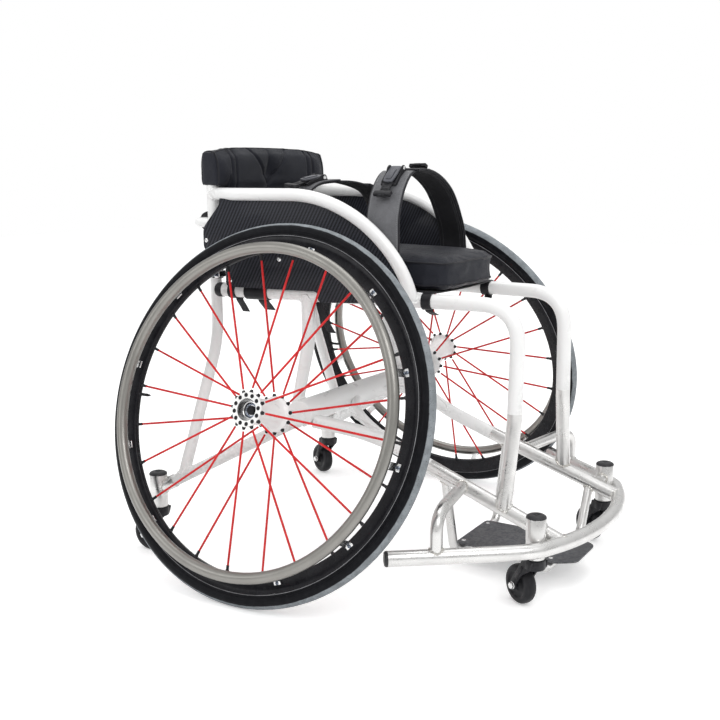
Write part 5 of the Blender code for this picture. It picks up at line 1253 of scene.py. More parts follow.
class CHAIR_OT_bare_frame(bpy.types.Operator):
    """Model the bare aluminium front frame, the bumper ring and the caster barrels with their welds"""
    bl_idname = "chair.bare_frame"
    bl_label = "Bare frame"

    def execute(self, context):
        down = (rail_path[-1] - rail_path[-2]).normalized()
        upright = rounded([rail_path[-1], rail_path[-1] + down * 0.014, UPRIGHT_FOOT], 0.02, 5)
        rail_run = LOWER_END - LOWER_START
        arm = RING_END - RING_CORNER
        landing = RING_CORNER + arm * (-0.32 - RING_CORNER.y) / arm.y
        brace = rounded([(0.1328, -0.285, 0.1756), (landing.x, landing.y, 0.181), landing], 0.055)
        hoops = {}
        for label, y in (("rear", -0.25), ("front", -0.415)):
            top = LOWER_START.lerp(LOWER_END, (y - LOWER_START.y) / rail_run.y)
            foot = Vector((0.0905, y, 0.0335))
            hoops[label] = rounded([top, foot, (-foot.x, y, foot.z), (-top.x, y, top.z)], 0.028, 8)
        hoop_beads = {"rear": [], "front": []}
        for hand, side in SIDES:
            beads = []
            rail = frame_tube("rail", [LOWER_START, LOWER_END], RAIL_RADIUS, side, 32)
            post = frame_tube("post", upright, RAIL_RADIUS, side, 32)
            lug = frame_tube("lug",
                             [(LOWER_END.x, FRONT_CASTER.y, LUG_HEIGHT), (FRONT_CASTER.x, FRONT_CASTER.y, LUG_HEIGHT)],
                             0.009, side, 20)
            weld(beads, side, UPRIGHT_FOOT, upright[-3] - upright[-1], RAIL_RADIUS, LOWER_START, rail_run, RAIL_RADIUS)
            weld(beads, side, (FRONT_CASTER.x, FRONT_CASTER.y, LUG_HEIGHT), (-1, 0, 0), 0.009,
                 (FRONT_CASTER.x, FRONT_CASTER.y, 0), (0, 0, 1), BARREL_RADIUS)
            dress(joined("lower_rail_tube_" + hand, [rail, post, lug]), "bare_aluminium", "frame",
                  ["lower_rail_" + hand])
            weld(beads, side, LOWER_END, -rail_run, RAIL_RADIUS, LOWER_END, (1, 0.2, 0), RING_RADIUS)
            weld(beads, side, brace[0], brace[2] - brace[0], RING_BRACE_RADIUS, LOWER_START, rail_run, RAIL_RADIUS)
            weld(beads, side, landing, brace[-3] - brace[-1], RING_BRACE_RADIUS, landing, arm, RING_RADIUS)
            dress(frame_tube("ring_brace_" + hand, brace, RING_BRACE_RADIUS, side, 28), "bare_aluminium", "frame",
                  ["bumper_brace_" + hand])
            for label in hoops:
                top = hoops[label][0]
                weld(hoop_beads[label], side, top, hoops[label][1] - top, SLIM_RADIUS, LOWER_START, rail_run,
                     RAIL_RADIUS)
            run = (REAR_MEMBER_END - REAR_MEMBER_START).normalized()
            sleeve = frame_tube("sleeve", [REAR_MEMBER_END - run * 0.038, REAR_MEMBER_END], SLEEVE_RADIUS, side, 28)
            for label, spot, top in (("front", FRONT_CASTER, 0.157), ("rear", REAR_CASTER, 0.15)):
                low = 0.0895
                profile = [(0.0069, top - 0.0003), (0.0158, top - 0.0002), (0.0162, top - 0.0008),
                           (0.0162, low + 0.001),
                           (0.0157, low), (0.0069, low)]
                barrel = turned("barrel", profile, 40, Matrix.Translation(from_axle((side * spot.x, spot.y, 0))))
                if label == "front":
                    dress(barrel, "bare_aluminium")
                    barrel.name = "caster_barrel_front_" + hand
                else:
                    dress(joined("caster_barrel_rear_" + hand, [barrel, sleeve]), "bare_aluminium", "frame",
                          ["rear_barrel_" + hand])
            weld(beads, side, REAR_MEMBER_END, -run, SLEEVE_RADIUS, (REAR_CASTER.x, REAR_CASTER.y, 0), (0, 0, 1),
                 BARREL_RADIUS)
            dress(joined("weld_beads_" + hand, beads), "weld_metal")
            for label, spot, top in (("front", FRONT_CASTER, 0.157), ("rear", REAR_CASTER, 0.15)):
                spot = Matrix.Translation(from_axle((side * spot.x, spot.y, top)))
                dome = [(0, 0.005), (0.002, 0.005), (0.0026, 0.0044), (0.004, 0.0042), (0.0052, 0.0052),
                        (0.009, 0.0055), (0.0128, 0.0048), (0.0154, 0.0032), (0.0165, 0.0012), (0.0165, 0.0003),
                        (0, 0.0003)]
                dress(turned("cap_%s_%s" % (label, hand), dome, 40, spot, False), "cap_plastic", "frame",
                      ["%s_barrel_cap_%s" % (label, hand)])
            end = from_axle(mirrored(side, RING_END))
            plug = [(0, 0.006), (0.006, 0.006), (0.0108, 0.0052), (0.0124, 0.0034), (0.0126, 0.001),
                    (0.0125, 0.0003), (0, 0.0003)]
            dress(turned("ring_end_plug_" + hand, plug, 32, aim(end, mirrored(side, arm)), False), "cap_plastic",
                  "frame",
                  ["ring_plug_" + hand])
        ring = tube("bumper_tube", [from_axle(point) for point in ring_points()], RING_RADIUS, 32)
        dress(ring, "bare_aluminium", "frame", ["bumper_ring"])
        for label in hoops:
            item = tube("plate_hoop_" + label, [from_axle(point) for point in hoops[label]], SLIM_RADIUS, 24)
            dress(joined("plate_hoop_" + label, [item]), "bare_aluminium", "frame", [label + "_hoop"])
            dress(joined("hoop_beads_" + label, hoop_beads[label]), "weld_metal")
        return {"FINISHED"}


class CHAIR_OT_footplate(bpy.types.Operator):
    """Model the footplate and its screws"""
    bl_idname = "chair.footplate"
    bl_label = "Footplate"

    def execute(self, context):
        half, corner = 0.068, 0.045
        outline = [Vector((x, y, 0)) for x, y in (
            (0, -0.24), (-half, -0.24), (-half, -0.428), (-corner, -0.46), (corner, -0.46), (half, -0.428),
            (half, -0.24), (0, -0.24))]
        outline = rounded(outline, 0.01, 5)[:-1]
        place = Matrix.Translation(from_axle((0, 0, 0.0433)))
        dress(plate("foot_plate", [(p.x, p.y) for p in outline], 0.003, place, 0.0008), "footplate_grey", "frame",
              ["footplate"])
        head = screw_head("screw", 0.0042, 0.0016, None)
        spots = [Matrix.Translation(from_axle((x, y, 0.0448))) for x in (-0.052, 0.052) for y in (-0.25, -0.415)]
        dress(copies("footplate_screws", head, spots), "bright_metal")
        return {"FINISHED"}


class CHAIR_OT_casters(bpy.types.Operator):
    """Model the four casters: forks, bolts and wheels"""
    bl_idname = "chair.casters"
    bl_label = "Casters"

    def execute(self, context):
        swivels = {"front_right": -31, "front_left": -31, "rear_right": 0, "rear_left": -25}
        for label, angle in swivels.items():
            row, hand = label.split("_")
            side = -1 if hand == "right" else 1
            spot, trail, top = (FRONT_CASTER, FRONT_TRAIL, 0.153) if row == "front" else (REAR_CASTER, REAR_TRAIL, 0.146)
            place = Matrix.Translation(from_axle((side * spot.x, spot.y, 0))) @ spun(radians(angle), "Z")
            crown = turned("crown", [(0, top), (0.0062, top), (0.0062, 0.0892), (0.0165, 0.0892), (0.0175, 0.0882),
                                     (0.0175, 0.074), (0.0163, 0.0722), (0, 0.072)], 40, place, False)
            outline = [(-0.0135, 0.0872), (0.0135, 0.0872), (0.015, 0.08), (trail - 0.004, 0.056)]
            for step in range(13):
                turn = radians(25 - 230 * step / 12)
                outline.append((trail + 0.009 * cos(turn), CASTER_RADIUS + 0.009 * sin(turn)))
            outline += [(trail * 0.42, 0.056), (-0.01, 0.074)]
            parts = [crown]
            for reach in (-1, 1):
                stand = place @ moved(reach * 0.015, 0, 0) @ UPRIGHT_PLATE
                parts.append(plate("leg", outline, 0.004, stand, 0.0009))
                rib = place @ Matrix.Translation((reach * 0.0173, (trail + 0.002) * 0.5, 0.061)) \
                    @ spun(atan2(trail - 0.002, 0.048), "X")
                parts.append(block("rib", (0.0012, 0.006, 0.03), rib, 0.0005, 2))
            body = "%s_fork_%s" % (row, hand)
            dress(joined("caster_fork_" + label, parts), "black_plastic", body,
                  ["%s_caster_%s_fork" % (row, hand)])
            bolts = []
            for reach in (-1, 1):
                stand = place @ moved(reach * 0.017, trail, CASTER_RADIUS) @ spun(reach * pi / 2, "Y")
                bolts.append(hex_head("bolt", 0.01, 0.0042, stand))
            shaft = turned("shaft", [(0, 0.017), (0.003, 0.017), (0.003, -0.017), (0, -0.017)], 16,
                           place @ moved(0, trail, CASTER_RADIUS) @ spun(pi / 2, "Y"),
                           False)
            dress(joined("caster_bolt_" + label, bolts + [shaft]), "bright_metal", body)
            axle = place @ moved(0, trail, CASTER_RADIUS) @ spun(pi / 2, "Y")
            half = [(0.0034, 0.0118), (0.007, 0.0119), (0.0084, 0.0112), (0.0092, 0.0092), (0.011, 0.008),
                    (0.018, 0.008), (0.0205, 0.0086), (0.0215, 0.0099), (0.024, 0.0104), (0.027, 0.0102),
                    (0.03, 0.0088), (0.032, 0.0064), (0.0329, 0.0034), (CASTER_RADIUS, 0.0)]
            profile = half + [(radius, -height) for radius, height in reversed(half[:-1])]
            dress(turned("caster_tyre_" + label, profile, 56, axle), "caster_rubber",
                  "%s_roller_%s" % (row, hand), ["%s_caster_%s_wheel" % (row, hand)])
        return {"FINISHED"}


class CHAIR_OT_side_guards(bpy.types.Operator):
    """Model the carbon side guards and their screws"""
    bl_idname = "chair.side_guards"
    bl_label = "Side guards"

    def execute(self, context):
        lean = atan2(RAIL_REAR_X - RAIL_FRONT_X, RAIL_REAR_Y - UPRIGHT_Y)
        stretch = 1 / cos(lean)
        raw = [(0.187, 0.648), (0.187, 0.639), (0.224, 0.595), (0.224, 0.557), (0.178, 0.53), (0.178, 0.49),
               (-0.01, 0.49), (-0.01, 0.471), (-0.115, 0.475)]
        corners = rounded([(y, z, 0) for y, z in raw], 0.009, 5)
        edge = [(p.y, p.z) for p in guard_path[2:] if p.z > RAIL_Z + 0.014]
        outline = [(p.x, p.y) for p in corners] + list(reversed(edge))
        outline = [((y - RAIL_REAR_Y) * stretch, min(z, 0.65)) for y, z in outline]
        for hand, side in SIDES:
            along = Vector((side * sin(lean), cos(lean), 0))
            place = Matrix((along, Vector((0, 0, 1)), along.cross(Vector((0, 0, 1))))).transposed().to_4x4()
            place.translation = from_axle((side * (RAIL_REAR_X + GUARD_OFFSET * stretch), RAIL_REAR_Y, 0))
            dress(plate("carbon_guard_" + hand, outline, 0.003, place, 0.0007), "carbon_weave", "frame",
                  ["side_guard_" + hand])
            spots = []
            for y, z in ((0.2166, 0.5729), (0.137, 0.5442), (0.0651, 0.5438), (-0.1098, 0.4853), (0.168, 0.502)):
                centre = beside_rail(y, z)
                normal = Vector((side, -tan(lean), 0)).normalized()
                spots.append(aim(from_axle((side * centre.x, y, z)) + normal * 0.0016, normal))
            dress(copies("guard_screws_" + hand, screw_head("screw", 0.0042, 0.002, None), spots), "bright_metal")
        return {"FINISHED"}


class CHAIR_OT_back_bar(bpy.types.Operator):
    """Model the bar behind the backrest with its foam sleeve"""
    bl_idname = "chair.back_bar"
    bl_label = "Back bar"

    def execute(self, context):
        x = 0.158 + 0.003 * (BAR_Z - 0.39) / (0.712 - 0.39)
        corner = Vector((x, BAR_Y, BAR_Z))
        path = rounded([(x, REAR_POST_Y, BAR_Z), corner, (-x, BAR_Y, BAR_Z), (-x, REAR_POST_Y, BAR_Z)], 0.022, 10)
        dress(tube("bar_tube", [from_axle(point) for point in path], 0.0085, 24), "white_paint", "frame",
              ["back_bar"])
        profile = [(0.0088, 0.128), (0.015, 0.1282), (0.0178, 0.1268), (0.0188, 0.1235)]
        for step in range(40):
            z = 0.119 - 0.238 * step / 39
            profile.append((0.0187 + 0.0005 * noise.noise(Vector((z * 60, 2, 0))), z))
        profile += [(0.0188, -0.1235), (0.0178, -0.1268), (0.015, -0.1282), (0.0088, -0.128)]
        place = Matrix.Translation(from_axle((0, BAR_Y, BAR_Z))) @ spun(pi / 2, "Y")
        sleeve = turned("foam_sleeve", profile, 40, place)
        for vert in sleeve.data.vertices:
            away = vert.co - from_axle((vert.co.x, BAR_Y, BAR_Z))
            if away.length > 0.012:
                away = away.normalized()
                vert.co += away * 0.0004 * noise.noise(vert.co * 90)
        dress(sleeve, "black_foam", "frame", ["back_bar_sleeve"])
        return {"FINISHED"}


class CHAIR_OT_cushion(bpy.types.Operator):
    """Model the seat cushion: swelled cover, drawn-in sides, piping and seams"""
    bl_idname = "chair.cushion"
    bl_label = "Cushion"

    def execute(self, context):
        only()
        bpy.ops.mesh.primitive_cube_add(size=1)
        item = named("seat_cushion")
        edit_all()
        bpy.ops.mesh.subdivide(number_cuts=11)
        bpy.ops.object.mode_set(mode="OBJECT")
        rear, front = 0.18, -0.233

        def shaped(across, along, height):
            """A place in the cushion from shares across (-1..1), from rear to front (0..1) and up (0..1)."""
            y = rear + (front - rear) * along
            half = rail_x(y) - 0.0075
            corner = max(0.0, abs(across) - 0.86) / 0.14 * max(0.0, abs(along - 0.5) * 2 - 0.88) / 0.12
            rounding = 1 - across ** 2
            nose = -0.011 * rounding * max(0.0, (along - 0.55) / 0.45) ** 2
            drawn = 0.0035 * sin(pi * height)
            crown = 0.006 * rounding * sin(pi * min(max(along, 0.05), 0.95))
            top = 0.5495 + crown - 0.004 * max(0.0, along * 5 - 4)
            x = across * (half - drawn - 0.008 * corner)
            return Vector((x, y + nose + (0.008 * corner + drawn) * (1 if along > 0.5 else -1),
                           CUSHION_BOTTOM + 0.002 + (top - CUSHION_BOTTOM - 0.002) * height))

        for vert in item.data.vertices:
            vert.co = from_axle(shaped(vert.co.x * 2, 0.5 - vert.co.y, vert.co.z + 0.5))

        def limits(point, start):
            point.z = min(max(point.z, CUSHION_BOTTOM + 0.0002), 0.5625)
            reach = rail_x(point.y - AXLE_Y) - 0.0035
            point.x = min(max(point.x, -reach), reach)
            point.y = min(max(point.y, start.y - 0.006), start.y + 0.006)
            return point

        outward(item)
        swelled(item, 0.005, 0.007, limits)
        for vert in item.data.vertices:
            x, y, z = vert.co.x, vert.co.y - AXLE_Y, vert.co.z
            if z > 0.542:
                soft = noise.noise(Vector((x * 14, y * 9, 3)))
                crease = exp(-((x * 0.9 + y + 0.16) / 0.006) ** 2) * exp(-((x + 0.06) / 0.05) ** 2)
                second = exp(-((x * 0.5 + y + 0.13) / 0.005) ** 2) * exp(-((x + 0.075) / 0.035) ** 2)
                vert.co.z += 0.0011 * soft - 0.0022 * crease - 0.0018 * second
            elif z > CUSHION_BOTTOM + 0.006:
                fold = sin(x * 130 + 4 * noise.noise(vert.co * 25)) * 0.0006
                vert.co.y += fold * noise.noise(vert.co * 12)
        only(item)
        bpy.ops.object.shade_smooth()
        dress(item, "dark_fabric", "frame", ["cushion"])

        def rim_path(height):
            points = []
            for step in range(36):
                points.append(shaped(-1 + 2 * step / 36, 1, height))
            for step in range(44):
                points.append(shaped(1, 1 - step / 44, height))
            for step in range(36):
                points.append(shaped(1 - 2 * step / 36, 0, height))
            for step in range(44):
                points.append(shaped(-1, step / 44, height))
            return [from_axle(point) for point in points]

        for label, height in (("top", 0.97), ("base", 0.1)):
            path = on_surface(item, rim_path(height), 0.0004)
            dress(tube("cushion_piping_" + label, path, sizes().piping, 10, None, True), "piping")
        return {"FINISHED"}


class CHAIR_OT_backrest(bpy.types.Operator):
    """Model the padded backrest cover: swelled panel, side wraps, piping, seams and the V fold"""
    bl_idname = "chair.backrest"
    bl_label = "Backrest"

    def execute(self, context):
        only()
        bpy.ops.mesh.primitive_cube_add(size=1)
        item = named("back_cover")
        edit_all()
        bpy.ops.mesh.subdivide(number_cuts=15)
        bpy.ops.object.mode_set(mode="OBJECT")

        def shaped(across, up, depth):
            """A place in the cover from shares across (-1..1), up (0..1) and from front to rear (0..1)."""
            lower, split, top = 0.562, 0.6685, 0.7455
            z = lower + (top - lower) * up
            wide = z > split
            half = 0.1775 if wide else 0.1425
            front, rear = (0.19, 0.227) if wide else (0.197, 0.2225)
            bowl = 0.015 * (1 - across ** 2)
            high = max(0.0, (z - split) / (top - split))
            pinch = 0.008 * high ** 4
            z -= 0.011 * across ** 4 * high
            near, far = front + bowl + pinch, rear + 0.002 * (1 - across ** 2) - pinch * 0.6
            edge = max(0.0, abs(across) - 0.9) / 0.1
            near += 0.002 * edge ** 2
            return Vector((across * half, near + (far - near) * depth, z))

        for vert in item.data.vertices:
            vert.co = from_axle(shaped(vert.co.x * 2, vert.co.z + 0.5, vert.co.y + 0.5))

        def limits(point, start):
            point.z = min(max(point.z, 0.56), 0.75)
            point.x = min(max(point.x, -0.182), 0.182)
            if point.z < 0.668:
                point.x = min(max(point.x, -0.1455), 0.1455)
            return point

        outward(item)
        swelled(item, 0.0045, 0.006, limits)
        for vert in item.data.vertices:
            x, y, z = vert.co.x, vert.co.y - AXLE_Y, vert.co.z
            front = 1.0 if y < 0.214 else 0.0
            seam = exp(-((abs(x) - 0.1296) / 0.0022) ** 2) + exp(-((abs(x) - 0.1149) / 0.0022) ** 2)
            arm = 0.06 * (z - 0.671) / 0.068
            v_fold = exp(-((abs(x) - arm) / 0.004) ** 2) if z > 0.671 else 0.0
            hollow = exp(-((abs(x) * 1.5 + abs(z - 0.69) - 0.0) / 0.034) ** 2)
            soft = noise.noise(Vector((x * 16, 5, z * 22)))
            if front:
                vert.co.y += 0.0036 * seam + 0.0042 * v_fold + 0.013 * hollow + 0.0016 * soft
            side = max(0.0, abs(x) - 0.15) / 0.03
            wrinkle = sin(z * 900 + 2.5 * noise.noise(Vector((y * 60, x * 20, z * 30))))
            vert.co.x += copysign(0.0011 * wrinkle * side, x) if side > 0.5 else 0.0
        only(item)
        bpy.ops.object.shade_smooth()
        dress(item, "dark_fabric", "frame", ["back_upholstery"])
        cords = []
        for side in (-1, 1):
            for share, lift in ((0.955, 0.0004), (0.745, 0.0001), (0.655, 0.0001)):
                path = [from_axle(shaped(side * share, 0.6 + 0.4 * step / 24, 0)) for step in range(25)]
                path += [from_axle(shaped(side * share, 1, step / 8)) for step in range(1, 9)]
                path += [from_axle(shaped(side * share, 1 - 0.4 * step / 24, 1)) for step in range(1, 25)]
                path = on_surface(item, path, lift)
                radius = sizes().piping if share > 0.9 else 0.0009
                cords.append(tube("cord", path, radius, 8))
        edge = [from_axle(shaped(-1 + 2 * step / 60, 1, 0.0)) for step in range(61)]
        cords.append(tube("cord", on_surface(item, edge, 0.0002), 0.0011, 8))
        dress(joined("back_piping", cords), "piping")
        return {"FINISHED"}


class CHAIR_OT_sling(bpy.types.Operator):
    """Model the seat sling, the webbing wraps on the rails, the rail clamps and the hanging tails"""
    bl_idname = "chair.sling"
    bl_label = "Seat sling"

    def execute(self, context):
        rows = [0.196 - 0.413 * step / 24 for step in range(25)]
        path = [from_axle((0, y, SLING_Z + 0.0015)) for y in rows]

        def across(point):
            return Vector((2 * (rail_x(point.y - AXLE_Y) - 0.004), 0, 0))

        item = ribbon("sling_sheet", path, across, 0.0024, 16)
        for vert in item.data.vertices:
            share = vert.co.x / rail_x(vert.co.y - AXLE_Y)
            vert.co.z -= 0.0025 * (1 - share ** 2) + 0.0006 * sin(vert.co.y * 90)
        wraps = []
        tails = []
        for hand, side in SIDES:
            for first, last in ((-0.2165, -0.1995), (0.098, 0.146), (0.166, 0.181)):
                along = Vector((rail_x(last), last, RAIL_Z)) - Vector((rail_x(first), first, RAIL_Z))
                start = from_axle((side * rail_x(first), first, RAIL_Z))
                run = Vector((side * along.x, along.y, 0))
                length = run.length
                profile = [(0.0126, 0), (0.0144, 0.0001), (0.0149, 0.0008)]
                count = max(3, int(length / 0.004))
                for step in range(1, count):
                    profile.append((0.0149 - 0.0003 * (step % 2), length * step / count))
                profile += [(0.0149, length - 0.0008), (0.0144, length - 0.0001), (0.0126, length)]
                wraps.append(turned("wrap", profile, 28, aim(start, run)))
            for y, width, reach in ((0.163, 0.016, 0.026), (0.112, 0.024, 0.02), (-0.21, 0.015, 0.01)):
                x = side * (rail_x(y) - 0.004)
                drop = [(x, y, RAIL_Z - 0.011), (x + side * 0.004, y, RAIL_Z - 0.016),
                        (x - side * 0.004, y - 0.002, RAIL_Z - 0.016 - reach * 0.5),
                        (x - side * 0.01, y - 0.004, RAIL_Z - 0.014 - reach)]
                tails.append(ribbon("tail", [from_axle(p) for p in smooth_path(drop, 4)],
                                    lambda point, width=width: Vector((0, width, 0)), 0.0016, 4))
        dress(joined("rail_wraps", wraps), "black_plastic")
        hanging = [(-0.132, 0.004, 0.492), (-0.134, 0.002, 0.47), (-0.133, -0.004, 0.446), (-0.13, -0.012, 0.428),
                   (-0.127, -0.02, 0.414)]
        tails.append(ribbon("tail", [from_axle(p) for p in smooth_path(hanging, 4)],
                            lambda point: Vector((0, 0.016, 0)), 0.0018, 4))
        hanging = [(0.13, 0.004, 0.492), (0.133, 0.004, 0.466), (0.13, 0.000, 0.444), (0.127, -0.006, 0.424)]
        tails.append(ribbon("tail", [from_axle(p) for p in smooth_path(hanging, 4)],
                            lambda point: Vector((0, 0.016, 0)), 0.0018, 4))
        dress(item, "webbing", "frame", ["seat_sling"])
        dress(joined("webbing_tails", tails), "webbing")
        for hand, side in SIDES:
            run = Vector((side * (rail_x(0.2) - rail_x(0.1)), 0.1, 0)).normalized()
            rear = from_axle((side * rail_x(0.199), 0.199, RAIL_Z))
            cap = [(0, 0.0065), (0.008, 0.0065), (0.0118, 0.005), (0.0132, 0.002), (0.0132, -0.009),
                   (0.012, -0.0092), (0, -0.0092)]
            dress(turned("rail_cap_" + hand, cap, 32, aim(rear + run * 0.006, run), False), "black_plastic")
            clamp_spot = from_axle((side * 0.1585, 0.215, 0.5115))
            clamp = turned("clamp", [(0.0103, 0.009), (0.0135, 0.009), (0.0142, 0.0083), (0.0142, -0.0083),
                                     (0.0135, -0.009), (0.0103, -0.009)], 32, Matrix.Translation(clamp_spot))
            ear = block("ear", (0.02, 0.012, 0.012), Matrix.Translation(
                clamp_spot + Vector((side * 0.004, -0.013, 0))), 0.0015)
            dress(joined("post_clamp_" + hand, [clamp, ear]), "bright_metal")
            bolt = hex_head("clamp_bolt_" + hand, 0.007, 0.0035, aim(
                clamp_spot + Vector((side * 0.014, -0.013, 0)), (side, 0, 0)))
            dress(bolt, "dark_chrome")
        return {"FINISHED"}


def strap_places(near_y, lap, far_y):
    """A strap's route from the right rail over the lap to the left rail."""
    foot_z = RAIL_Z + RAIL_RADIUS - 0.0003
    near, far = beside_rail(near_y, foot_z, 0.003), beside_rail(far_y, foot_z, 0.003)
    near_rise, far_rise = beside_rail(near_y, 0.57, -0.0015), beside_rail(far_y, 0.57, -0.0015)
    return [*on_side([near, near_rise], -1), *lap, far_rise, far]


def strap_across(width, lean=1.0):
    """The direction of a strap's width, turned with the rail's taper at its sides."""
    taper = (RAIL_REAR_X - RAIL_FRONT_X) / (RAIL_REAR_Y - UPRIGHT_Y)

    def across(point):
        share = max(-1, min(1, point.x / RAIL_FRONT_X)) * lean
        return Vector((share * taper * width, width, 0))
    return across


class CHAIR_OT_straps(bpy.types.Operator):
    """Model the hip and thigh straps with their pads"""
    bl_idname = "chair.straps"
    bl_label = "Straps and pads"

    def execute(self, context):
        routes = {"hip": strap_places(0.06, HIP_LAP, 0.045), "thigh": strap_places(-0.125, THIGH_LAP, -0.129)}
        for label, route in routes.items():
            path = [from_axle(point) for point in smooth_path(route, 10)]
            band = ribbon(label + "_band", path, strap_across(STRAP_WIDTH), 0.0036, 8)
            dress(band, "webbing", "frame", [label + "_strap"])
            # The near pads take the grey finish whose colour holds a painted highlight.
            spans = {"hip": ((0.16, 0.47, 0.05, "pad_grey"), (0.6, 0.9, 0.05, "pad_black")),
                     "thigh": ((0.05, 0.44, 0.058, "pad_grey"), (0.47, 0.93, 0.054, "pad_black"))}[label]
            for index, (first, last, width, look) in enumerate(spans):
                low, high = int(first * (len(path) - 1)), int(last * (len(path) - 1))
                part = path[low:high + 1]
                raised = []
                for spot, point in enumerate(part):
                    ahead = part[min(spot + 1, len(part) - 1)] - part[max(spot - 1, 0)]
                    up = ahead.cross(Vector((0, 1, 0))).normalized()
                    if up.z < 0 or (abs(up.z) < 0.2 and up.x * point.x < 0):
                        up = -up
                    raised.append(point + up * 0.0022)
                pad = ribbon("%s_pad_%d" % (label, index), raised, strap_across(width), 0.0046, 14)
                for vert in pad.data.vertices:
                    vert.co += Vector((0, 0, 0.0006)) * noise.noise(vert.co * 60)
                dress(pad, look)
                cords = []
                for edge in (-0.5, 0.5):
                    line = [point + strap_across(width)(point) * edge for point in raised]
                    cords.append(tube("cord", line, 0.0021, 8))
                ends = [raised[0], raised[-1]]
                for point in ends:
                    reach = strap_across(width)(point)
                    cords.append(tube("cord", [point - reach / 2, point, point + reach / 2], 0.0021, 8))
                dress(joined("%s_pad_binding_%d" % (label, index), cords), "piping")
        return {"FINISHED"}


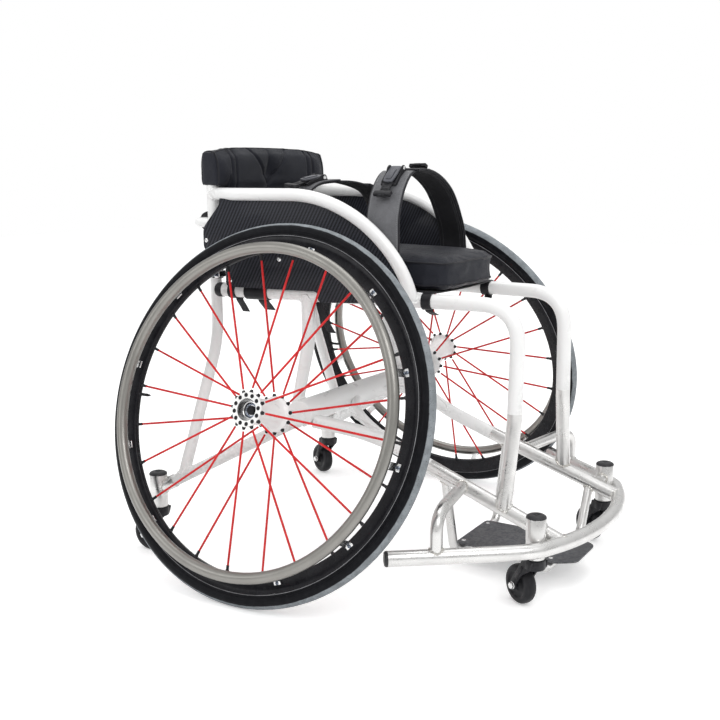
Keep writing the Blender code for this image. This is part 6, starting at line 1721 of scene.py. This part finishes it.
class CHAIR_OT_buckles(bpy.types.Operator):
    """Model the ratchet buckles: base, toothed strap, loop and lever"""
    bl_idname = "chair.buckles"
    bl_label = "Ratchet buckles"

    def execute(self, context):
        hip, thigh = strap_places(0.06, HIP_LAP, 0.045), strap_places(-0.125, THIGH_LAP, -0.129)
        spots = (("hip", hip, 0.38), ("near_thigh", thigh, 0.4), ("far_thigh", thigh, 0.6))
        for label, route, at in spots:
            path = smooth_path(route, 3)
            index = int(at * (len(path) - 1))
            along = path[index + 1] - path[index]
            middle = from_axle((path[index + 1] + path[index]) / 2)

            def framed(direction):
                x = direction.normalized()
                z = x.cross(Vector((0, 1, 0))).normalized()
                matrix = Matrix((x, z.cross(x), z)).transposed().to_4x4()
                matrix.translation = middle
                return matrix

            place = framed(along)
            if place.col[2].z < 0:
                place = framed(-along)
            low = 0.0015
            floor = block("floor", (0.046, 0.03, 0.003), place @ moved(0, 0, low + 0.003), 0.001)
            parts = [floor]
            cheek = [(-0.021, 0.0), (0.021, 0.0), (0.0225, 0.006), (0.02, 0.0125), (0.012, 0.013), (0.004, 0.0085),
                     (-0.018, 0.0065), (-0.0225, 0.003)]
            cheek = [(p.x, p.y) for p in rounded([(x, z, 0) for x, z in cheek + cheek[:1]], 0.003, 3)[:-1]]
            for reach in (-1, 1):
                stand = place @ moved(0, reach * 0.0135, low) @ spun(pi / 2, "X")
                parts.append(plate("cheek", cheek, 0.003, stand, 0.0006))
            tongue = block("tongue", (0.036, 0.018, 0.0022), place @ moved(-0.036, 0, low + 0.004)
                           @ spun(radians(-6), "Y"), 0.0008)
            parts.append(tongue)
            for tooth in range(9):
                stand = place @ Matrix.Translation((-0.052 + tooth * 0.0036, 0, low + 0.0058 - abs(tooth - 8) * 0.0001))
                parts.append(block("tooth", (0.0014, 0.013, 0.0014), stand, 0.0004, 1))
            hold = block("hold", (0.01, 0.034, 0.0066), place @ moved(-0.046, 0, low + 0.0034), 0.0014)
            parts.append(hold)
            dress(joined("ratchet_base_" + label, parts), "black_plastic")
            rivets = []
            for reach in (-1, 1):
                stand = place @ moved(0.017, reach * 0.0149, low + 0.0069) \
                    @ spun(-reach * pi / 2, "X")
                rivets.append(screw_head("rivet", 0.0036, 0.0012, stand, False))
            dress(joined("ratchet_rivets_" + label, rivets), "bright_metal")
            hinge = place @ moved(0.017, 0, low + 0.0068)
            outline = [(0.002, 0.0075), (0.000, 0.0112), (-0.01, 0.0112), (-0.03, 0.0104), (-0.0385, 0.008),
                       (-0.04, 0.0), (-0.0385, -0.008), (-0.03, -0.0104), (-0.01, -0.0112), (0.000, -0.0112),
                       (0.002, -0.0075)]
            lever = plate("lever", outline, 0.0034, hinge @ moved(0, 0, 0.0022), 0.0009)
            ridge = block("ridge", (0.026, 0.01, 0.0022), hinge @ moved(-0.021, 0, 0.0046), 0.0009)
            pin = turned("pin", [(0, 0.0113), (0.0031, 0.0113), (0.0033, 0.0108), (0.0033, -0.0108),
                                 (0.0031, -0.0113), (0, -0.0113)], 20,
                         hinge @ spun(pi / 2, "X"), False)
            dress(joined("ratchet_lever_" + label, [lever, ridge, pin]), "buckle_grey", label + "_lever",
                  [label + "_buckle_lever"])
        return {"FINISHED"}


STEPS = (CHAIR_OT_stage, CHAIR_OT_tyres, CHAIR_OT_rims, CHAIR_OT_spokes, CHAIR_OT_handrims, CHAIR_OT_axles,
         CHAIR_OT_painted_frame, CHAIR_OT_bare_frame, CHAIR_OT_footplate, CHAIR_OT_casters, CHAIR_OT_side_guards,
         CHAIR_OT_back_bar, CHAIR_OT_cushion, CHAIR_OT_backrest, CHAIR_OT_sling, CHAIR_OT_straps,
         CHAIR_OT_buckles)


class CHAIR_PT_pieces(bpy.types.Panel):
    """Lists the pieces and their settings"""
    bl_idname = "CHAIR_PT_pieces"
    bl_label = "Wheelchair"
    bl_space_type = "VIEW_3D"
    bl_region_type = "UI"
    bl_category = "Wheelchair"

    def draw(self, context):
        for group in (context.scene.chair_sizes, context.scene.chair_colours):
            box = self.layout.box()
            for key in group.__annotations__:
                box.prop(group, key)
        for step in STEPS:
            self.layout.operator(step.bl_idname)


CLASSES = (ChairSizes, ChairColours, *STEPS, CHAIR_PT_pieces)


def register():
    """Register the classes and their settings."""
    for item in CLASSES:
        bpy.utils.register_class(item)
    bpy.types.Scene.chair_sizes = PointerProperty(type=ChairSizes)
    bpy.types.Scene.chair_colours = PointerProperty(type=ChairColours)


def unregister():
    """Take the settings and classes away again."""
    del bpy.types.Scene.chair_sizes
    del bpy.types.Scene.chair_colours
    for item in reversed(CLASSES):
        bpy.utils.unregister_class(item)


def main():
    register()
    for step in STEPS:
        group, name = step.bl_idname.split(".")
        if getattr(getattr(bpy.ops, group), name)() != {"FINISHED"}:
            raise RuntimeError(step.bl_idname + " did not finish")


if __name__ == "__main__":
    main()
